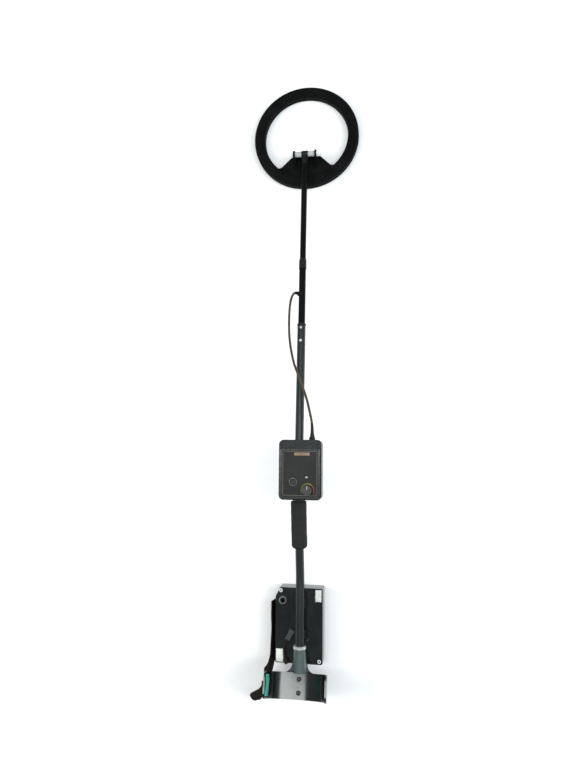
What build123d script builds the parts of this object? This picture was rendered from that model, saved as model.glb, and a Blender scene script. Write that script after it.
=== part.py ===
"""Metal detector with a round search coil, a telescoping shaft, a control box and a rear box.

Millimetres. +Z is up and +Y runs forward along the shaft, to the coil. The detector lies on its
coil and on the underside of the rear box, at Z = 0. The origin is on that underside, straight
below the shaft.
"""

import os
from math import atan2, cos, pi, radians, sin, tan

from build123d import *

os.makedirs("parts", exist_ok=True)

# ---------------------------------------------------------------- driving dimensions
FIT = 0.05  # radial clearance of a sliding or turning fit
SEAT_FIT = 0.02  # radial clearance of a seated fit
GAP = 0.4  # clearance round soft and loose pieces

# shaft, as points (Y, Z) of its axis in the plane X = 0
TUBE_REAR_Y = -82
REAR_Z = 57
LOW_BEND = (95, REAR_Z)
HIGH_BEND = (272, 92)
PIVOT_Y = 1010
PIVOT_Z = 32
LOW_BEND_R = 150
HIGH_BEND_R = 130

UPPER_R = 8.6
UPPER_BORE_R = 7.3
MIDDLE_R = UPPER_BORE_R - FIT
MIDDLE_BORE_R = 6.45
ROD_R = MIDDLE_BORE_R - FIT
ROD_BORE_R = 5.4

UPPER_FRONT_Y = 612
MIDDLE_REAR_Y = 520
MIDDLE_FRONT_Y = 752
ROD_REAR_Y = 688
ROD_FRONT_Y = 986
ROD_SLOT_LENGTH = 60
ROD_SLOT_WIDTH = 7
BUTTON_Y = 606
TUBE_SCREW_Y = 578
BUTTON_HOLE_R = 3.1
TUBE_SCREW_HOLE_R = 1.6
CABLE_HOLE_R = 3.5
GROMMET_R = 5.2
CABLE_EXIT_Y = 680
CABLE_EXIT_TURN = 35  # degrees from the top of the tube, to the left
CABLE_EXIT_HEIGHT = 11.3  # outer face of the grommet, from the shaft's axis
LOCK_NUT_REAR_Y = 738
LOCK_NUT_FRONT_Y = 761
LOCK_NUT_R = 8
GRIP_REAR_Y = 157
GRIP_FRONT_Y = 250
GRIP_R = 15.8

# search coil
COIL_Y = 1061
COIL_R = 119
COIL_INNER_R = 95
COIL_SPLIT_Z = 5
COIL_TOP_Z = 20
COIL_WALL = 3
WEB_BOTTOM_Z = 8
WEB_TOP_Z = 15
WEB_FRONT_Y = 1014
WEB_FRONT_HALF_WIDTH = 31
WEB_REAR_HALF_WIDTH = 85
WEB_SHOULDER_R = 14
WEB_NOTCH = (56, 990)  # the low corner on each side of the web
WEB_NOTCH_R = 9
EAR_X = 22
EAR_THICKNESS = 4
EAR_R = 8.5
EAR_BASE_LENGTH = 30
BOLT_R = 3
BOLT_HOLE_R = BOLT_R + FIT
TONGUE_HALF_WIDTH = 7
TONGUE_R = 7.4
SPACER_R = 5.8
BOLT_HEAD_R = 5.8
BOLT_HEAD_LENGTH = 4.5
PIVOT_NUT_R = 6.6
PIVOT_NUT_LENGTH = 7.5

# control box
BOX_X = 9
BOX_WIDTH = 83
BOX_REAR_Y = 255.5
BOX_LENGTH = 115.5
BOX_BOTTOM_Z = 104
BOX_BASE_TOP_Z = 128.5
BOX_LID_Z = 129.5
BOX_TOP_Z = 136
BOX_CORNER_R = 9
BOX_WALL = 2.5
BOSS_INSET = 6
BOX_BOSS_R = 4
BOX_SCREW_R = 1.5
BOARD_THICKNESS = 1.6
FACE_WIDTH = 71
FACE_REAR_Y = 262
FACE_FRONT_Y = 351
FACE_THICKNESS = 1
KNOB_AT = (24, 274.5)
KNOB_R = 9.5
KEY_AT = (-4, 290)
KEY_R = 5.6
KEY_TRAVEL = 1.5
KNOB_HOLE_R = 4.2
LIGHT_HOLE_R = 3.6
SWITCH_TOP_Z = 128.6
BOARD_Z = 116
LED_AT = (22, 299)
POT_Z = 118
POT_BUSH_Z = 127
GLAND_AT = (30, 114)
GLAND_LENGTH = 14
GLAND_HEX_LENGTH = 5
SADDLE_WIDTH = 30
SADDLE_SCREWS = (24, 56)  # spacing across and along the shaft
SADDLE_SPLIT_Z = HIGH_BEND[1] - 6
CLAMP_DEPTH = 12

# rear box
REAR_X = -5
REAR_WIDTH = 97
REAR_BACK_Y = -76
REAR_LENGTH = 148
REAR_BASE_TOP_Z = 29
REAR_LID_Z = 30
REAR_TOP_Z = 38
REAR_CORNER_R = 4
REAR_WALL = 2.5
SOCKET_AT = (-38, 47)
PACK_Y = -18
MAIN_BOARD_Z = 22
CELL_ROW = 27.25  # half the distance between the two rows of cells
CELL_Z = 11.6
CELL_LENGTH = 49
SOCKET_BORE_R = 3.2
SOCKET_THREAD_R = 5
SOCKET_NUT_R = 8
REAR_BOSS_R = 4.6
REAR_SCREW_HOLE_R = 1.7
REAR_SCREW_HEAD_R = 3.6
REAR_SCREW_HEAD_DEPTH = 1.6
PAD_THICKNESS = 2.2
CUT_CORNER = (10, 20)  # the cut corner, across and along the box

# arm cuff
CUFF_Y = -109
CUFF_Z = 64
CUFF_LEAN = 18
CUFF_HALF_LENGTH = 24
CUFF_HALF_WIDTH = 60
CUFF_HEIGHT = 62
CUFF_THICKNESS = 3.5
CUFF_WING_R = 34
CUFF_FLOOR_R = 70
CUFF_SCREW_SPACING = 24
CUFF_SCREW_HOLE_R = 2.6
CUFF_RING_Y = -40
CUFF_RING_R = 13

# arm strap
STRAP_THICKNESS = 2.4
STRAP_FRONT_Y = 44
STRAP_LENGTH = 136
STRAP_RISER_X = -60.8

# cables
CABLE_R = 2.5
LEAD_R = 2
LEAD_Z = 43
LEAD_PLUG_LENGTH = 15

# ---------------------------------------------------------------- shaft frames
front_slope = atan2(HIGH_BEND[1] - PIVOT_Z, PIVOT_Y - HIGH_BEND[0])
front_axis = Vector(0, cos(front_slope), -sin(front_slope))
front_up = Vector(0, sin(front_slope), cos(front_slope))
grip_slope = atan2(HIGH_BEND[1] - LOW_BEND[1], HIGH_BEND[0] - LOW_BEND[0])
grip_axis = Vector(0, cos(grip_slope), sin(grip_slope))


def front_height(y):
    """Height of the shaft's axis in front of the high bend."""
    return PIVOT_Z + (PIVOT_Y - y) * tan(front_slope)


def front_point(y):
    return Vector(0, y, front_height(y))


def front_plane(y):
    """Cross-section of the front shaft: local Z forward along it, local Y up."""
    return Plane(origin=front_point(y), x_dir=(-1, 0, 0), z_dir=front_axis)


def front_side_plane(y):
    """Lengthwise section of the front shaft: local X forward along it, local Y up."""
    return Plane(origin=front_point(y), x_dir=front_axis, z_dir=(1, 0, 0))


def front_length(rear_y, front_y):
    return (front_y - rear_y) / cos(front_slope)


def grip_plane(y):
    """Cross-section of the rising part of the shaft, local Z along it."""
    height = LOW_BEND[1] + (y - LOW_BEND[0]) * tan(grip_slope)
    return Plane(origin=(0, y, height), x_dir=(-1, 0, 0), z_dir=grip_axis)


def radial_plane(y, turn):
    """Plane on the front shaft's axis whose local Z points out, turned to the left of the top."""
    out = Vector(-sin(radians(turn)), 0, 0) + front_up * cos(radians(turn))
    return Plane(origin=front_point(y), x_dir=front_axis, z_dir=out)


with BuildLine(Plane.YZ) as shaft_line:
    FilletPolyline(
        (TUBE_REAR_Y, REAR_Z),
        LOW_BEND,
        HIGH_BEND,
        (UPPER_FRONT_Y, front_height(UPPER_FRONT_Y)),
        radius=[LOW_BEND_R, HIGH_BEND_R],
    )
shaft_path = shaft_line.wire()
shaft_start = Plane(origin=shaft_path @ 0, x_dir=(1, 0, 0), z_dir=shaft_path % 0)

# ---------------------------------------------------------------- upper tube
with BuildPart() as upper_tube:
    with BuildSketch(shaft_start):
        Circle(UPPER_R)
        Circle(UPPER_BORE_R, mode=Mode.SUBTRACT)
    sweep(path=shaft_path)
    with BuildSketch(radial_plane(BUTTON_Y, 0)):
        Circle(BUTTON_HOLE_R)
    extrude(amount=UPPER_R + 2, mode=Mode.SUBTRACT)
    with BuildSketch(radial_plane(TUBE_SCREW_Y, 0)):
        Circle(TUBE_SCREW_HOLE_R)
    extrude(amount=UPPER_R + 2, mode=Mode.SUBTRACT)
upper_tube.part.label = "upper_tube"

with BuildPart() as tube_end_plug:
    with BuildSketch(shaft_start):
        Circle(UPPER_BORE_R)
    extrude(amount=9)
    with BuildSketch(shaft_start):
        Circle(UPPER_R)
    extrude(amount=-1.5)
tube_end_plug.part.label = "tube_end_plug"

with BuildPart() as tube_mouth_bush:
    with BuildSketch(front_plane(UPPER_FRONT_Y)):
        Circle(UPPER_R + 0.6)
        Circle(MIDDLE_R + FIT, mode=Mode.SUBTRACT)
    extrude(amount=4)
    chamfer(tube_mouth_bush.faces().sort_by(Axis.Y)[-1].edges(), 0.6)
tube_mouth_bush.part.label = "tube_mouth_bush"

with BuildPart() as tube_screw:
    with BuildSketch(radial_plane(TUBE_SCREW_Y, 0).offset(UPPER_R)):
        Circle(3.2)
    extrude(amount=1.6)
    fillet(tube_screw.edges().sort_by(Axis.Z)[-1], 1)
    with BuildSketch(radial_plane(TUBE_SCREW_Y, 0).offset(MIDDLE_BORE_R)):
        Circle(TUBE_SCREW_HOLE_R - 0.1)
    extrude(amount=UPPER_R - MIDDLE_BORE_R)
tube_screw.part.label = "tube_screw"

# ---------------------------------------------------------------- middle tube
with BuildPart() as middle_tube:
    with BuildSketch(front_plane(MIDDLE_REAR_Y)):
        Circle(MIDDLE_R)
        Circle(MIDDLE_BORE_R, mode=Mode.SUBTRACT)
    extrude(amount=front_length(MIDDLE_REAR_Y, MIDDLE_FRONT_Y))
    with BuildSketch(radial_plane(BUTTON_Y, 0)):
        Circle(BUTTON_HOLE_R)
    extrude(amount=MIDDLE_R + 2, mode=Mode.SUBTRACT)
    with BuildSketch(radial_plane(TUBE_SCREW_Y, 0)):
        Circle(TUBE_SCREW_HOLE_R)
    extrude(amount=MIDDLE_R + 2, mode=Mode.SUBTRACT)
    with BuildSketch(radial_plane(CABLE_EXIT_Y, CABLE_EXIT_TURN)):
        Circle(CABLE_HOLE_R)
    extrude(amount=MIDDLE_R + 2, mode=Mode.SUBTRACT)
middle_tube.part.label = "middle_tube"

with BuildPart() as cable_grommet:
    with BuildSketch(radial_plane(CABLE_EXIT_Y, CABLE_EXIT_TURN)):
        Circle(GROMMET_R)
    extrude(amount=CABLE_EXIT_HEIGHT)
    with BuildSketch(front_plane(CABLE_EXIT_Y).offset(-10)):
        Circle(MIDDLE_R + SEAT_FIT)
    extrude(amount=20, mode=Mode.SUBTRACT)
    fillet(cable_grommet.faces().sort_by(Axis.Z)[-1].edges(), 1.5)
    with BuildSketch(radial_plane(CABLE_EXIT_Y, CABLE_EXIT_TURN).offset(MIDDLE_BORE_R + 0.1)):
        Circle(CABLE_HOLE_R - 0.1)
    extrude(amount=3)
cable_grommet.part.label = "cable_grommet"

with BuildPart() as rod_collet:
    with BuildSketch(front_plane(MIDDLE_FRONT_Y).offset(0.3)):
        Circle(MIDDLE_R - 0.3)
        Circle(ROD_R + FIT, mode=Mode.SUBTRACT)
    extrude(amount=5.5)
    with BuildSketch(front_side_plane(MIDDLE_FRONT_Y)):
        with Locations((5, 0)):
            Rectangle(5, 1)
    extrude(amount=MIDDLE_R, both=True, mode=Mode.SUBTRACT)
rod_collet.part.label = "rod_collet"

with BuildPart() as lock_nut:
    nut_length = front_length(LOCK_NUT_REAR_Y, LOCK_NUT_FRONT_Y)
    with BuildSketch(front_plane(LOCK_NUT_REAR_Y)):
        Circle(LOCK_NUT_R)
    extrude(amount=nut_length)
    chamfer(lock_nut.faces().sort_by(Axis.Y)[-1].edges(), length=5, length2=0.8)
    with BuildSketch(front_plane(LOCK_NUT_REAR_Y)):
        Circle(MIDDLE_R + FIT)
    extrude(amount=nut_length - 2.5, mode=Mode.SUBTRACT)
    with BuildSketch(front_plane(LOCK_NUT_REAR_Y)):
        Circle(ROD_R + 2 * FIT)
    extrude(amount=nut_length, mode=Mode.SUBTRACT)
    with BuildSketch(front_plane(LOCK_NUT_REAR_Y)):
        with PolarLocations(LOCK_NUT_R + 0.2, 16):
            Circle(0.6)
    extrude(amount=nut_length * 0.6, mode=Mode.SUBTRACT)
lock_nut.part.label = "lock_nut"

# ---------------------------------------------------------------- snap button and its leaf spring
with BuildPart() as snap_button:
    with BuildSketch(radial_plane(BUTTON_Y, 0).offset(3.6)):
        Circle(3.8)
    extrude(amount=1.3)
    with BuildSketch(radial_plane(BUTTON_Y, 0).offset(3.6)):
        Circle(BUTTON_HOLE_R - 0.1)
    extrude(amount=7)
    fillet(snap_button.edges().sort_by(Axis.Z)[-1], 1.6)
snap_button.part.label = "snap_button"

with BuildPart() as snap_button_spring:
    with BuildSketch(front_side_plane(BUTTON_Y)):
        with BuildLine():
            FilletPolyline((5, 3), (-17, 3), (-17, -5.4), (6, -5.4), radius=[3, 3])
            offset(amount=0.5, side=Side.RIGHT)
        make_face()
    extrude(amount=2.2, both=True)
snap_button_spring.part.label = "snap_button_spring"

# ---------------------------------------------------------------- lower rod
with BuildPart() as lower_rod:
    with BuildSketch(front_plane(ROD_REAR_Y)):
        Circle(ROD_R)
        Circle(ROD_BORE_R, mode=Mode.SUBTRACT)
    extrude(amount=front_length(ROD_REAR_Y, ROD_FRONT_Y))
    with BuildSketch(radial_plane(ROD_REAR_Y, CABLE_EXIT_TURN)):
        SlotCenterToCenter(2 * ROD_SLOT_LENGTH - ROD_SLOT_WIDTH, ROD_SLOT_WIDTH)
    extrude(amount=ROD_R + 2, mode=Mode.SUBTRACT)
lower_rod.part.label = "lower_rod"

with BuildPart() as rod_tongue:
    with BuildSketch(front_plane(ROD_FRONT_Y - 26)):
        Circle(ROD_BORE_R - SEAT_FIT)
    extrude(amount=30)
    with BuildSketch(front_plane(ROD_FRONT_Y)):
        Circle(ROD_R)
    extrude(amount=front_length(ROD_FRONT_Y, PIVOT_Y))
    with BuildSketch(Plane.YZ):
        with Locations((PIVOT_Y, PIVOT_Z)):
            Circle(TONGUE_R)
    extrude(amount=TONGUE_HALF_WIDTH, both=True)
    with BuildSketch(Plane.YZ):
        with Locations((PIVOT_Y, PIVOT_Z)):
            Circle(BOLT_HOLE_R)
    extrude(amount=TONGUE_HALF_WIDTH, both=True, mode=Mode.SUBTRACT)
rod_tongue.part.label = "rod_tongue"

with BuildPart() as pivot_spacers:
    for side in (-1, 1):
        with BuildSketch(Plane.YZ.offset(side * (TONGUE_HALF_WIDTH + 0.1))):
            with Locations((PIVOT_Y, PIVOT_Z)):
                Circle(SPACER_R)
                Circle(BOLT_HOLE_R, mode=Mode.SUBTRACT)
        extrude(amount=side * (EAR_X - TONGUE_HALF_WIDTH - 0.2))
pivot_spacers.part.label = "pivot_spacers"

# ---------------------------------------------------------------- foam hand grip
with BuildPart() as hand_grip:
    with BuildSketch(grip_plane(GRIP_REAR_Y)):
        Circle(GRIP_R)
    extrude(amount=(GRIP_FRONT_Y - GRIP_REAR_Y) / cos(grip_slope))
    fillet(hand_grip.faces().sort_by(Axis.Y)[0].edges(), 6)
    fillet(hand_grip.faces().sort_by(Axis.Y)[-1].edges(), 2.5)
    with BuildSketch(grip_plane(GRIP_REAR_Y - 5)):
        Circle(UPPER_R + FIT)
    extrude(amount=GRIP_FRONT_Y, mode=Mode.SUBTRACT)
hand_grip.part.label = "hand_grip"


# ---------------------------------------------------------------- search coil
def coil_plane(height):
    return Plane(origin=(0, COIL_Y, height))


with BuildPart() as coil_top_shell:
    with BuildSketch(coil_plane(COIL_SPLIT_Z)):
        Circle(COIL_R)
        Circle(COIL_INNER_R, mode=Mode.SUBTRACT)
    extrude(amount=COIL_TOP_Z - COIL_SPLIT_Z)
    fillet(coil_top_shell.faces().sort_by(Axis.Z)[-1].edges(), 6.5)
    with BuildSketch(Plane.XY.offset(WEB_BOTTOM_Z)) as web_outline:
        Polygon(
            (-WEB_REAR_HALF_WIDTH, 940),
            (WEB_REAR_HALF_WIDTH, 940),
            (72, 988),
            WEB_NOTCH,
            (WEB_FRONT_HALF_WIDTH, WEB_FRONT_Y),
            (-WEB_FRONT_HALF_WIDTH, WEB_FRONT_Y),
            (-WEB_NOTCH[0], WEB_NOTCH[1]),
            (-72, 988),
            align=None,
        )
        fillet(web_outline.vertices().group_by(Axis.Y)[-1], WEB_SHOULDER_R)
        notches = [v for v in web_outline.vertices() if abs(v.Y - WEB_NOTCH[1]) < FIT]
        fillet(notches, WEB_NOTCH_R)
        with Locations((0, COIL_Y)):
            Circle(COIL_INNER_R + 2, mode=Mode.INTERSECT)
    extrude(amount=WEB_TOP_Z - WEB_BOTTOM_Z)
    with BuildSketch(coil_plane(COIL_SPLIT_Z)):
        Circle(COIL_R - COIL_WALL)
        Circle(COIL_INNER_R + COIL_WALL, mode=Mode.SUBTRACT)
    extrude(amount=10, mode=Mode.SUBTRACT)
    for side in (-1, 1):
        with BuildSketch(Plane.YZ.offset(side * EAR_X)) as ear:
            with Locations((PIVOT_Y, PIVOT_Z)):
                Circle(EAR_R)
            with Locations((WEB_FRONT_Y - EAR_BASE_LENGTH / 2, WEB_TOP_Z - 1)):
                Rectangle(EAR_BASE_LENGTH, 2)
            make_hull()
            with Locations((PIVOT_Y, PIVOT_Z)):
                Circle(BOLT_HOLE_R, mode=Mode.SUBTRACT)
        extrude(amount=side * EAR_THICKNESS)
coil_top_shell.part.label = "coil_top_shell"

with BuildPart() as coil_bottom_shell:
    with BuildSketch(coil_plane(0)):
        Circle(COIL_R)
        Circle(COIL_INNER_R, mode=Mode.SUBTRACT)
    extrude(amount=COIL_SPLIT_Z)
    chamfer(coil_bottom_shell.faces().sort_by(Axis.Z)[0].edges(), 2)
    with BuildSketch(coil_plane(2)):
        Circle(COIL_R - COIL_WALL)
        Circle(COIL_INNER_R + COIL_WALL, mode=Mode.SUBTRACT)
    extrude(amount=COIL_SPLIT_Z, mode=Mode.SUBTRACT)
coil_bottom_shell.part.label = "coil_bottom_shell"

with BuildPart() as search_winding:
    with BuildSketch(coil_plane(3)):
        Circle(COIL_R - COIL_WALL - 3)
        Circle(COIL_INNER_R + COIL_WALL + 3, mode=Mode.SUBTRACT)
    extrude(amount=8)
    fillet(search_winding.edges(), 2.5)
search_winding.part.label = "search_winding"

with BuildPart() as coil_cable_gland:
    with BuildSketch(Plane(origin=(0, 990, WEB_TOP_Z))):
        Circle(5)
        Circle(2.6, mode=Mode.SUBTRACT)
    extrude(amount=5.5)
coil_cable_gland.part.label = "coil_cable_gland"

with BuildPart() as pivot_bolt:
    with BuildSketch(Plane.YZ.offset(-EAR_X - EAR_THICKNESS)):
        with Locations((PIVOT_Y, PIVOT_Z)):
            RegularPolygon(BOLT_HEAD_R, 6)
    extrude(amount=-BOLT_HEAD_LENGTH)
    with BuildSketch(Plane.YZ.offset(-EAR_X - EAR_THICKNESS)):
        with Locations((PIVOT_Y, PIVOT_Z)):
            Circle(BOLT_R)
    extrude(amount=2 * (EAR_X + EAR_THICKNESS) + 10)
pivot_bolt.part.label = "pivot_bolt"

with BuildPart() as pivot_nut:
    with BuildSketch(Plane.YZ.offset(EAR_X + EAR_THICKNESS + 0.1)):
        with Locations((PIVOT_Y, PIVOT_Z)):
            RegularPolygon(PIVOT_NUT_R, 6)
    extrude(amount=PIVOT_NUT_LENGTH)
    chamfer(pivot_nut.faces().sort_by(Axis.X)[-1].edges(), 0.8)
    with BuildSketch(Plane.YZ.offset(EAR_X + EAR_THICKNESS)):
        with Locations((PIVOT_Y, PIVOT_Z)):
            Circle(BOLT_HOLE_R)
    extrude(amount=PIVOT_NUT_LENGTH + 1, mode=Mode.SUBTRACT)
pivot_nut.part.label = "pivot_nut"

# ---------------------------------------------------------------- control box
box_centre = (BOX_X, BOX_REAR_Y + BOX_LENGTH / 2)
box_front_y = BOX_REAR_Y + BOX_LENGTH
face_centre = (BOX_X, (FACE_REAR_Y + FACE_FRONT_Y) / 2)
boss_spacing = (BOX_WIDTH - 2 * BOSS_INSET, BOX_LENGTH - 2 * BOSS_INSET)


def box_plane(height):
    return Plane(origin=(*box_centre, height))


def box_outline(inset):
    corner = BOX_CORNER_R - inset
    RectangleRounded(BOX_WIDTH - 2 * inset, BOX_LENGTH - 2 * inset, corner)


with BuildPart() as control_box_base:
    with BuildSketch(box_plane(BOX_BOTTOM_Z)):
        box_outline(0)
    extrude(amount=BOX_BASE_TOP_Z - BOX_BOTTOM_Z)
    fillet(control_box_base.faces().sort_by(Axis.Z)[0].edges(), 2)
    with BuildSketch(box_plane(BOX_BOTTOM_Z + BOX_WALL)):
        box_outline(BOX_WALL)
    extrude(amount=BOX_LENGTH, mode=Mode.SUBTRACT)
    with BuildSketch(box_plane(BOX_BOTTOM_Z + BOX_WALL)):
        with GridLocations(*boss_spacing, 2, 2):
            Circle(BOX_BOSS_R)
    extrude(amount=BOX_BASE_TOP_Z - BOX_BOTTOM_Z - BOX_WALL)
    with BuildSketch(box_plane(BOX_BOTTOM_Z)):
        with GridLocations(*boss_spacing, 2, 2):
            Circle(BOX_SCREW_R + 0.2)
    extrude(amount=BOX_LENGTH, mode=Mode.SUBTRACT)
    with BuildSketch(box_plane(BOX_BOTTOM_Z)):
        with GridLocations(*boss_spacing, 2, 2):
            Circle(3.1)
    extrude(amount=2, mode=Mode.SUBTRACT)
    with BuildSketch(Plane(origin=(BOX_X, face_centre[1], BOX_BOTTOM_Z + BOX_WALL))):
        with GridLocations(44, 74, 2, 2):
            Circle(2.5)
    extrude(amount=BOARD_Z - BOX_BOTTOM_Z - BOX_WALL)
control_box_base.part.label = "control_box_base"

with BuildPart() as control_box_gasket:
    with BuildSketch(box_plane(BOX_BASE_TOP_Z)):
        box_outline(0.4)
    extrude(amount=BOX_LID_Z - BOX_BASE_TOP_Z)
    with BuildSketch(box_plane(BOX_BASE_TOP_Z)):
        box_outline(2)
    extrude(amount=BOX_LID_Z - BOX_BASE_TOP_Z, mode=Mode.SUBTRACT)
control_box_gasket.part.label = "control_box_gasket"

with BuildPart() as control_box_lid:
    with BuildSketch(box_plane(BOX_LID_Z)):
        box_outline(0)
    extrude(amount=BOX_TOP_Z - BOX_LID_Z)
    chamfer(control_box_lid.faces().sort_by(Axis.Z)[-1].edges(), 2.2)
    with BuildSketch(Plane.YZ.offset(BOX_X)):
        Polygon(
            (FACE_FRONT_Y + 1, BOX_TOP_Z + 1),
            (FACE_FRONT_Y + 1, BOX_TOP_Z),
            (box_front_y + 1, BOX_LID_Z + 1.8),
            (box_front_y + 1, BOX_TOP_Z + 1),
            align=None,
        )
    extrude(amount=BOX_WIDTH, both=True, mode=Mode.SUBTRACT)
    with BuildSketch(Plane(origin=(*face_centre, BOX_LID_Z))):
        Rectangle(FACE_WIDTH - 4, FACE_FRONT_Y - FACE_REAR_Y - 6)
    extrude(amount=BOX_TOP_Z - BOX_LID_Z - 2.5, mode=Mode.SUBTRACT)
    with BuildSketch(Plane(origin=(*face_centre, BOX_TOP_Z - FACE_THICKNESS))):
        RectangleRounded(FACE_WIDTH, FACE_FRONT_Y - FACE_REAR_Y, 2.5)
    extrude(amount=3, mode=Mode.SUBTRACT)
    with BuildSketch(Plane.XY.offset(BOX_LID_Z)):
        with Locations(KNOB_AT):
            Circle(KNOB_HOLE_R)
        with Locations(KEY_AT):
            Circle(KEY_R + 1.2)
        with Locations(LED_AT):
            Circle(LIGHT_HOLE_R)
    extrude(amount=BOX_LENGTH, mode=Mode.SUBTRACT)
    with BuildSketch(box_plane(BOX_LID_Z)):
        with GridLocations(*boss_spacing, 2, 2):
            Circle(BOX_SCREW_R + 0.1)
    extrude(amount=2.5, mode=Mode.SUBTRACT)
control_box_lid.part.label = "control_box_lid"

with BuildPart() as control_face_plate:
    with BuildSketch(Plane(origin=(*face_centre, BOX_TOP_Z - FACE_THICKNESS))):
        RectangleRounded(FACE_WIDTH - 0.3, FACE_FRONT_Y - FACE_REAR_Y - 0.3, 2.4)
    extrude(amount=FACE_THICKNESS)
    with BuildSketch(Plane.XY.offset(BOX_LID_Z)):
        with Locations(KNOB_AT):
            Circle(KNOB_HOLE_R)
        with Locations(KEY_AT):
            Circle(KEY_R + 1.2)
        with Locations(LED_AT):
            Circle(LIGHT_HOLE_R)
    extrude(amount=BOX_LENGTH, mode=Mode.SUBTRACT)
control_face_plate.part.label = "control_face_plate"

with BuildPart() as control_box_screws:
    with BuildSketch(box_plane(BOX_BOTTOM_Z + 0.2)):
        with GridLocations(*boss_spacing, 2, 2):
            Circle(3)
    extrude(amount=1.8)
    with BuildSketch(box_plane(BOX_BOTTOM_Z + 0.2)):
        with GridLocations(*boss_spacing, 2, 2):
            Circle(BOX_SCREW_R)
    extrude(amount=BOX_LID_Z - BOX_BOTTOM_Z + 1.8)
control_box_screws.part.label = "control_box_screws"

with BuildPart() as control_board:
    with BuildSketch(Plane(origin=(BOX_X, face_centre[1], BOARD_Z))):
        Rectangle(54, 84)
        with Locations((KNOB_AT[0] - BOX_X, KNOB_AT[1] - face_centre[1])):
            Circle(9, mode=Mode.SUBTRACT)
    extrude(amount=BOARD_THICKNESS)
    with BuildSketch(Plane(origin=(*KEY_AT, BOARD_Z + BOARD_THICKNESS))):
        Rectangle(12, 12)
    extrude(amount=SWITCH_TOP_Z - BOARD_Z - BOARD_THICKNESS)
control_board.part.label = "control_board"

with BuildPart() as gain_potentiometer:
    with BuildSketch(Plane.XY.offset(POT_Z)):
        with Locations(KNOB_AT):
            Circle(8)
            Circle(2, mode=Mode.SUBTRACT)
    extrude(amount=POT_BUSH_Z - POT_Z)
    with BuildSketch(Plane.XY.offset(POT_BUSH_Z)):
        with Locations(KNOB_AT):
            Circle(4)
            Circle(3.05, mode=Mode.SUBTRACT)
    extrude(amount=8.6)
gain_potentiometer.part.label = "gain_potentiometer"

with BuildPart() as gain_pot_shaft:
    with BuildSketch(Plane.XY.offset(POT_BUSH_Z + 0.2)):
        with Locations(KNOB_AT):
            Circle(3)
    extrude(amount=15.8)
gain_pot_shaft.part.label = "gain_pot_shaft"

with BuildPart() as gain_knob:
    with BuildSketch(Plane.XY.offset(BOX_TOP_Z + 0.4)):
        with Locations(KNOB_AT):
            Circle(KNOB_R)
            with PolarLocations(KNOB_R + 0.5, 18):
                Circle(0.9, mode=Mode.SUBTRACT)
    extrude(amount=9)
    with BuildSketch(Plane.XY.offset(BOX_TOP_Z + 0.4)):
        with Locations(KNOB_AT):
            Circle(3)
    extrude(amount=143 - BOX_TOP_Z - 0.4, mode=Mode.SUBTRACT)
    with BuildSketch(Plane.XY.offset(BOX_TOP_Z + 8.6)):
        with Locations((KNOB_AT[0], KNOB_AT[1] + 4.6)):
            Rectangle(1.4, 7)
    extrude(amount=2, mode=Mode.SUBTRACT)
gain_knob.part.label = "gain_knob"

with BuildPart() as power_key:
    with BuildSketch(Plane.XY.offset(BOX_TOP_Z - 3)):
        with Locations(KEY_AT):
            Circle(KEY_R)
    extrude(amount=6)
    fillet(power_key.faces().sort_by(Axis.Z)[-1].edges(), 1.5)
    with BuildSketch(Plane.XY.offset(SWITCH_TOP_Z + KEY_TRAVEL + 0.1)):
        with Locations(KEY_AT):
            Circle(2)
    extrude(amount=5)
power_key.part.label = "power_key"

with BuildPart() as key_surround:
    with BuildSketch(Plane.XY.offset(BOX_TOP_Z)):
        with Locations(KEY_AT):
            Circle(KEY_R + 2.2)
            Circle(KEY_R + GAP, mode=Mode.SUBTRACT)
    extrude(amount=1.4)
key_surround.part.label = "key_surround"

with BuildPart() as status_light:
    with BuildSketch(Plane.XY.offset(128)):
        with Locations(LED_AT):
            Circle(2.5)
    extrude(amount=BOX_TOP_Z + 2.6 - 128)
    fillet(status_light.faces().sort_by(Axis.Z)[-1].edges(), 2.2)
status_light.part.label = "status_light"

with BuildPart() as control_box_saddle:
    with BuildSketch(Plane(origin=(0, box_centre[1], SADDLE_SPLIT_Z))):
        Rectangle(SADDLE_WIDTH, 72)
    extrude(amount=BOX_BOTTOM_Z - SADDLE_SPLIT_Z)
    with BuildSketch(Plane(origin=(0, box_centre[1], SADDLE_SPLIT_Z))):
        with GridLocations(*SADDLE_SCREWS, 2, 2):
            Circle(1.6)
    extrude(amount=14, mode=Mode.SUBTRACT)
    with BuildSketch(shaft_start):
        Circle(UPPER_R + SEAT_FIT)
    sweep(path=shaft_path, mode=Mode.SUBTRACT)
control_box_saddle.part.label = "control_box_saddle"

with BuildPart() as tube_clamps:
    with BuildSketch(Plane(origin=(0, box_centre[1], SADDLE_SPLIT_Z))):
        with GridLocations(0, SADDLE_SCREWS[1], 1, 2):
            Rectangle(SADDLE_WIDTH, 13)
    extrude(amount=-CLAMP_DEPTH)
    with BuildSketch(Plane(origin=(0, box_centre[1], SADDLE_SPLIT_Z - 2 * CLAMP_DEPTH))):
        with GridLocations(*SADDLE_SCREWS, 2, 2):
            Circle(1.6)
    extrude(amount=40, mode=Mode.SUBTRACT)
    with BuildSketch(shaft_start):
        Circle(UPPER_R + SEAT_FIT)
    sweep(path=shaft_path, mode=Mode.SUBTRACT)
tube_clamps.part.label = "tube_clamps"

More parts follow.
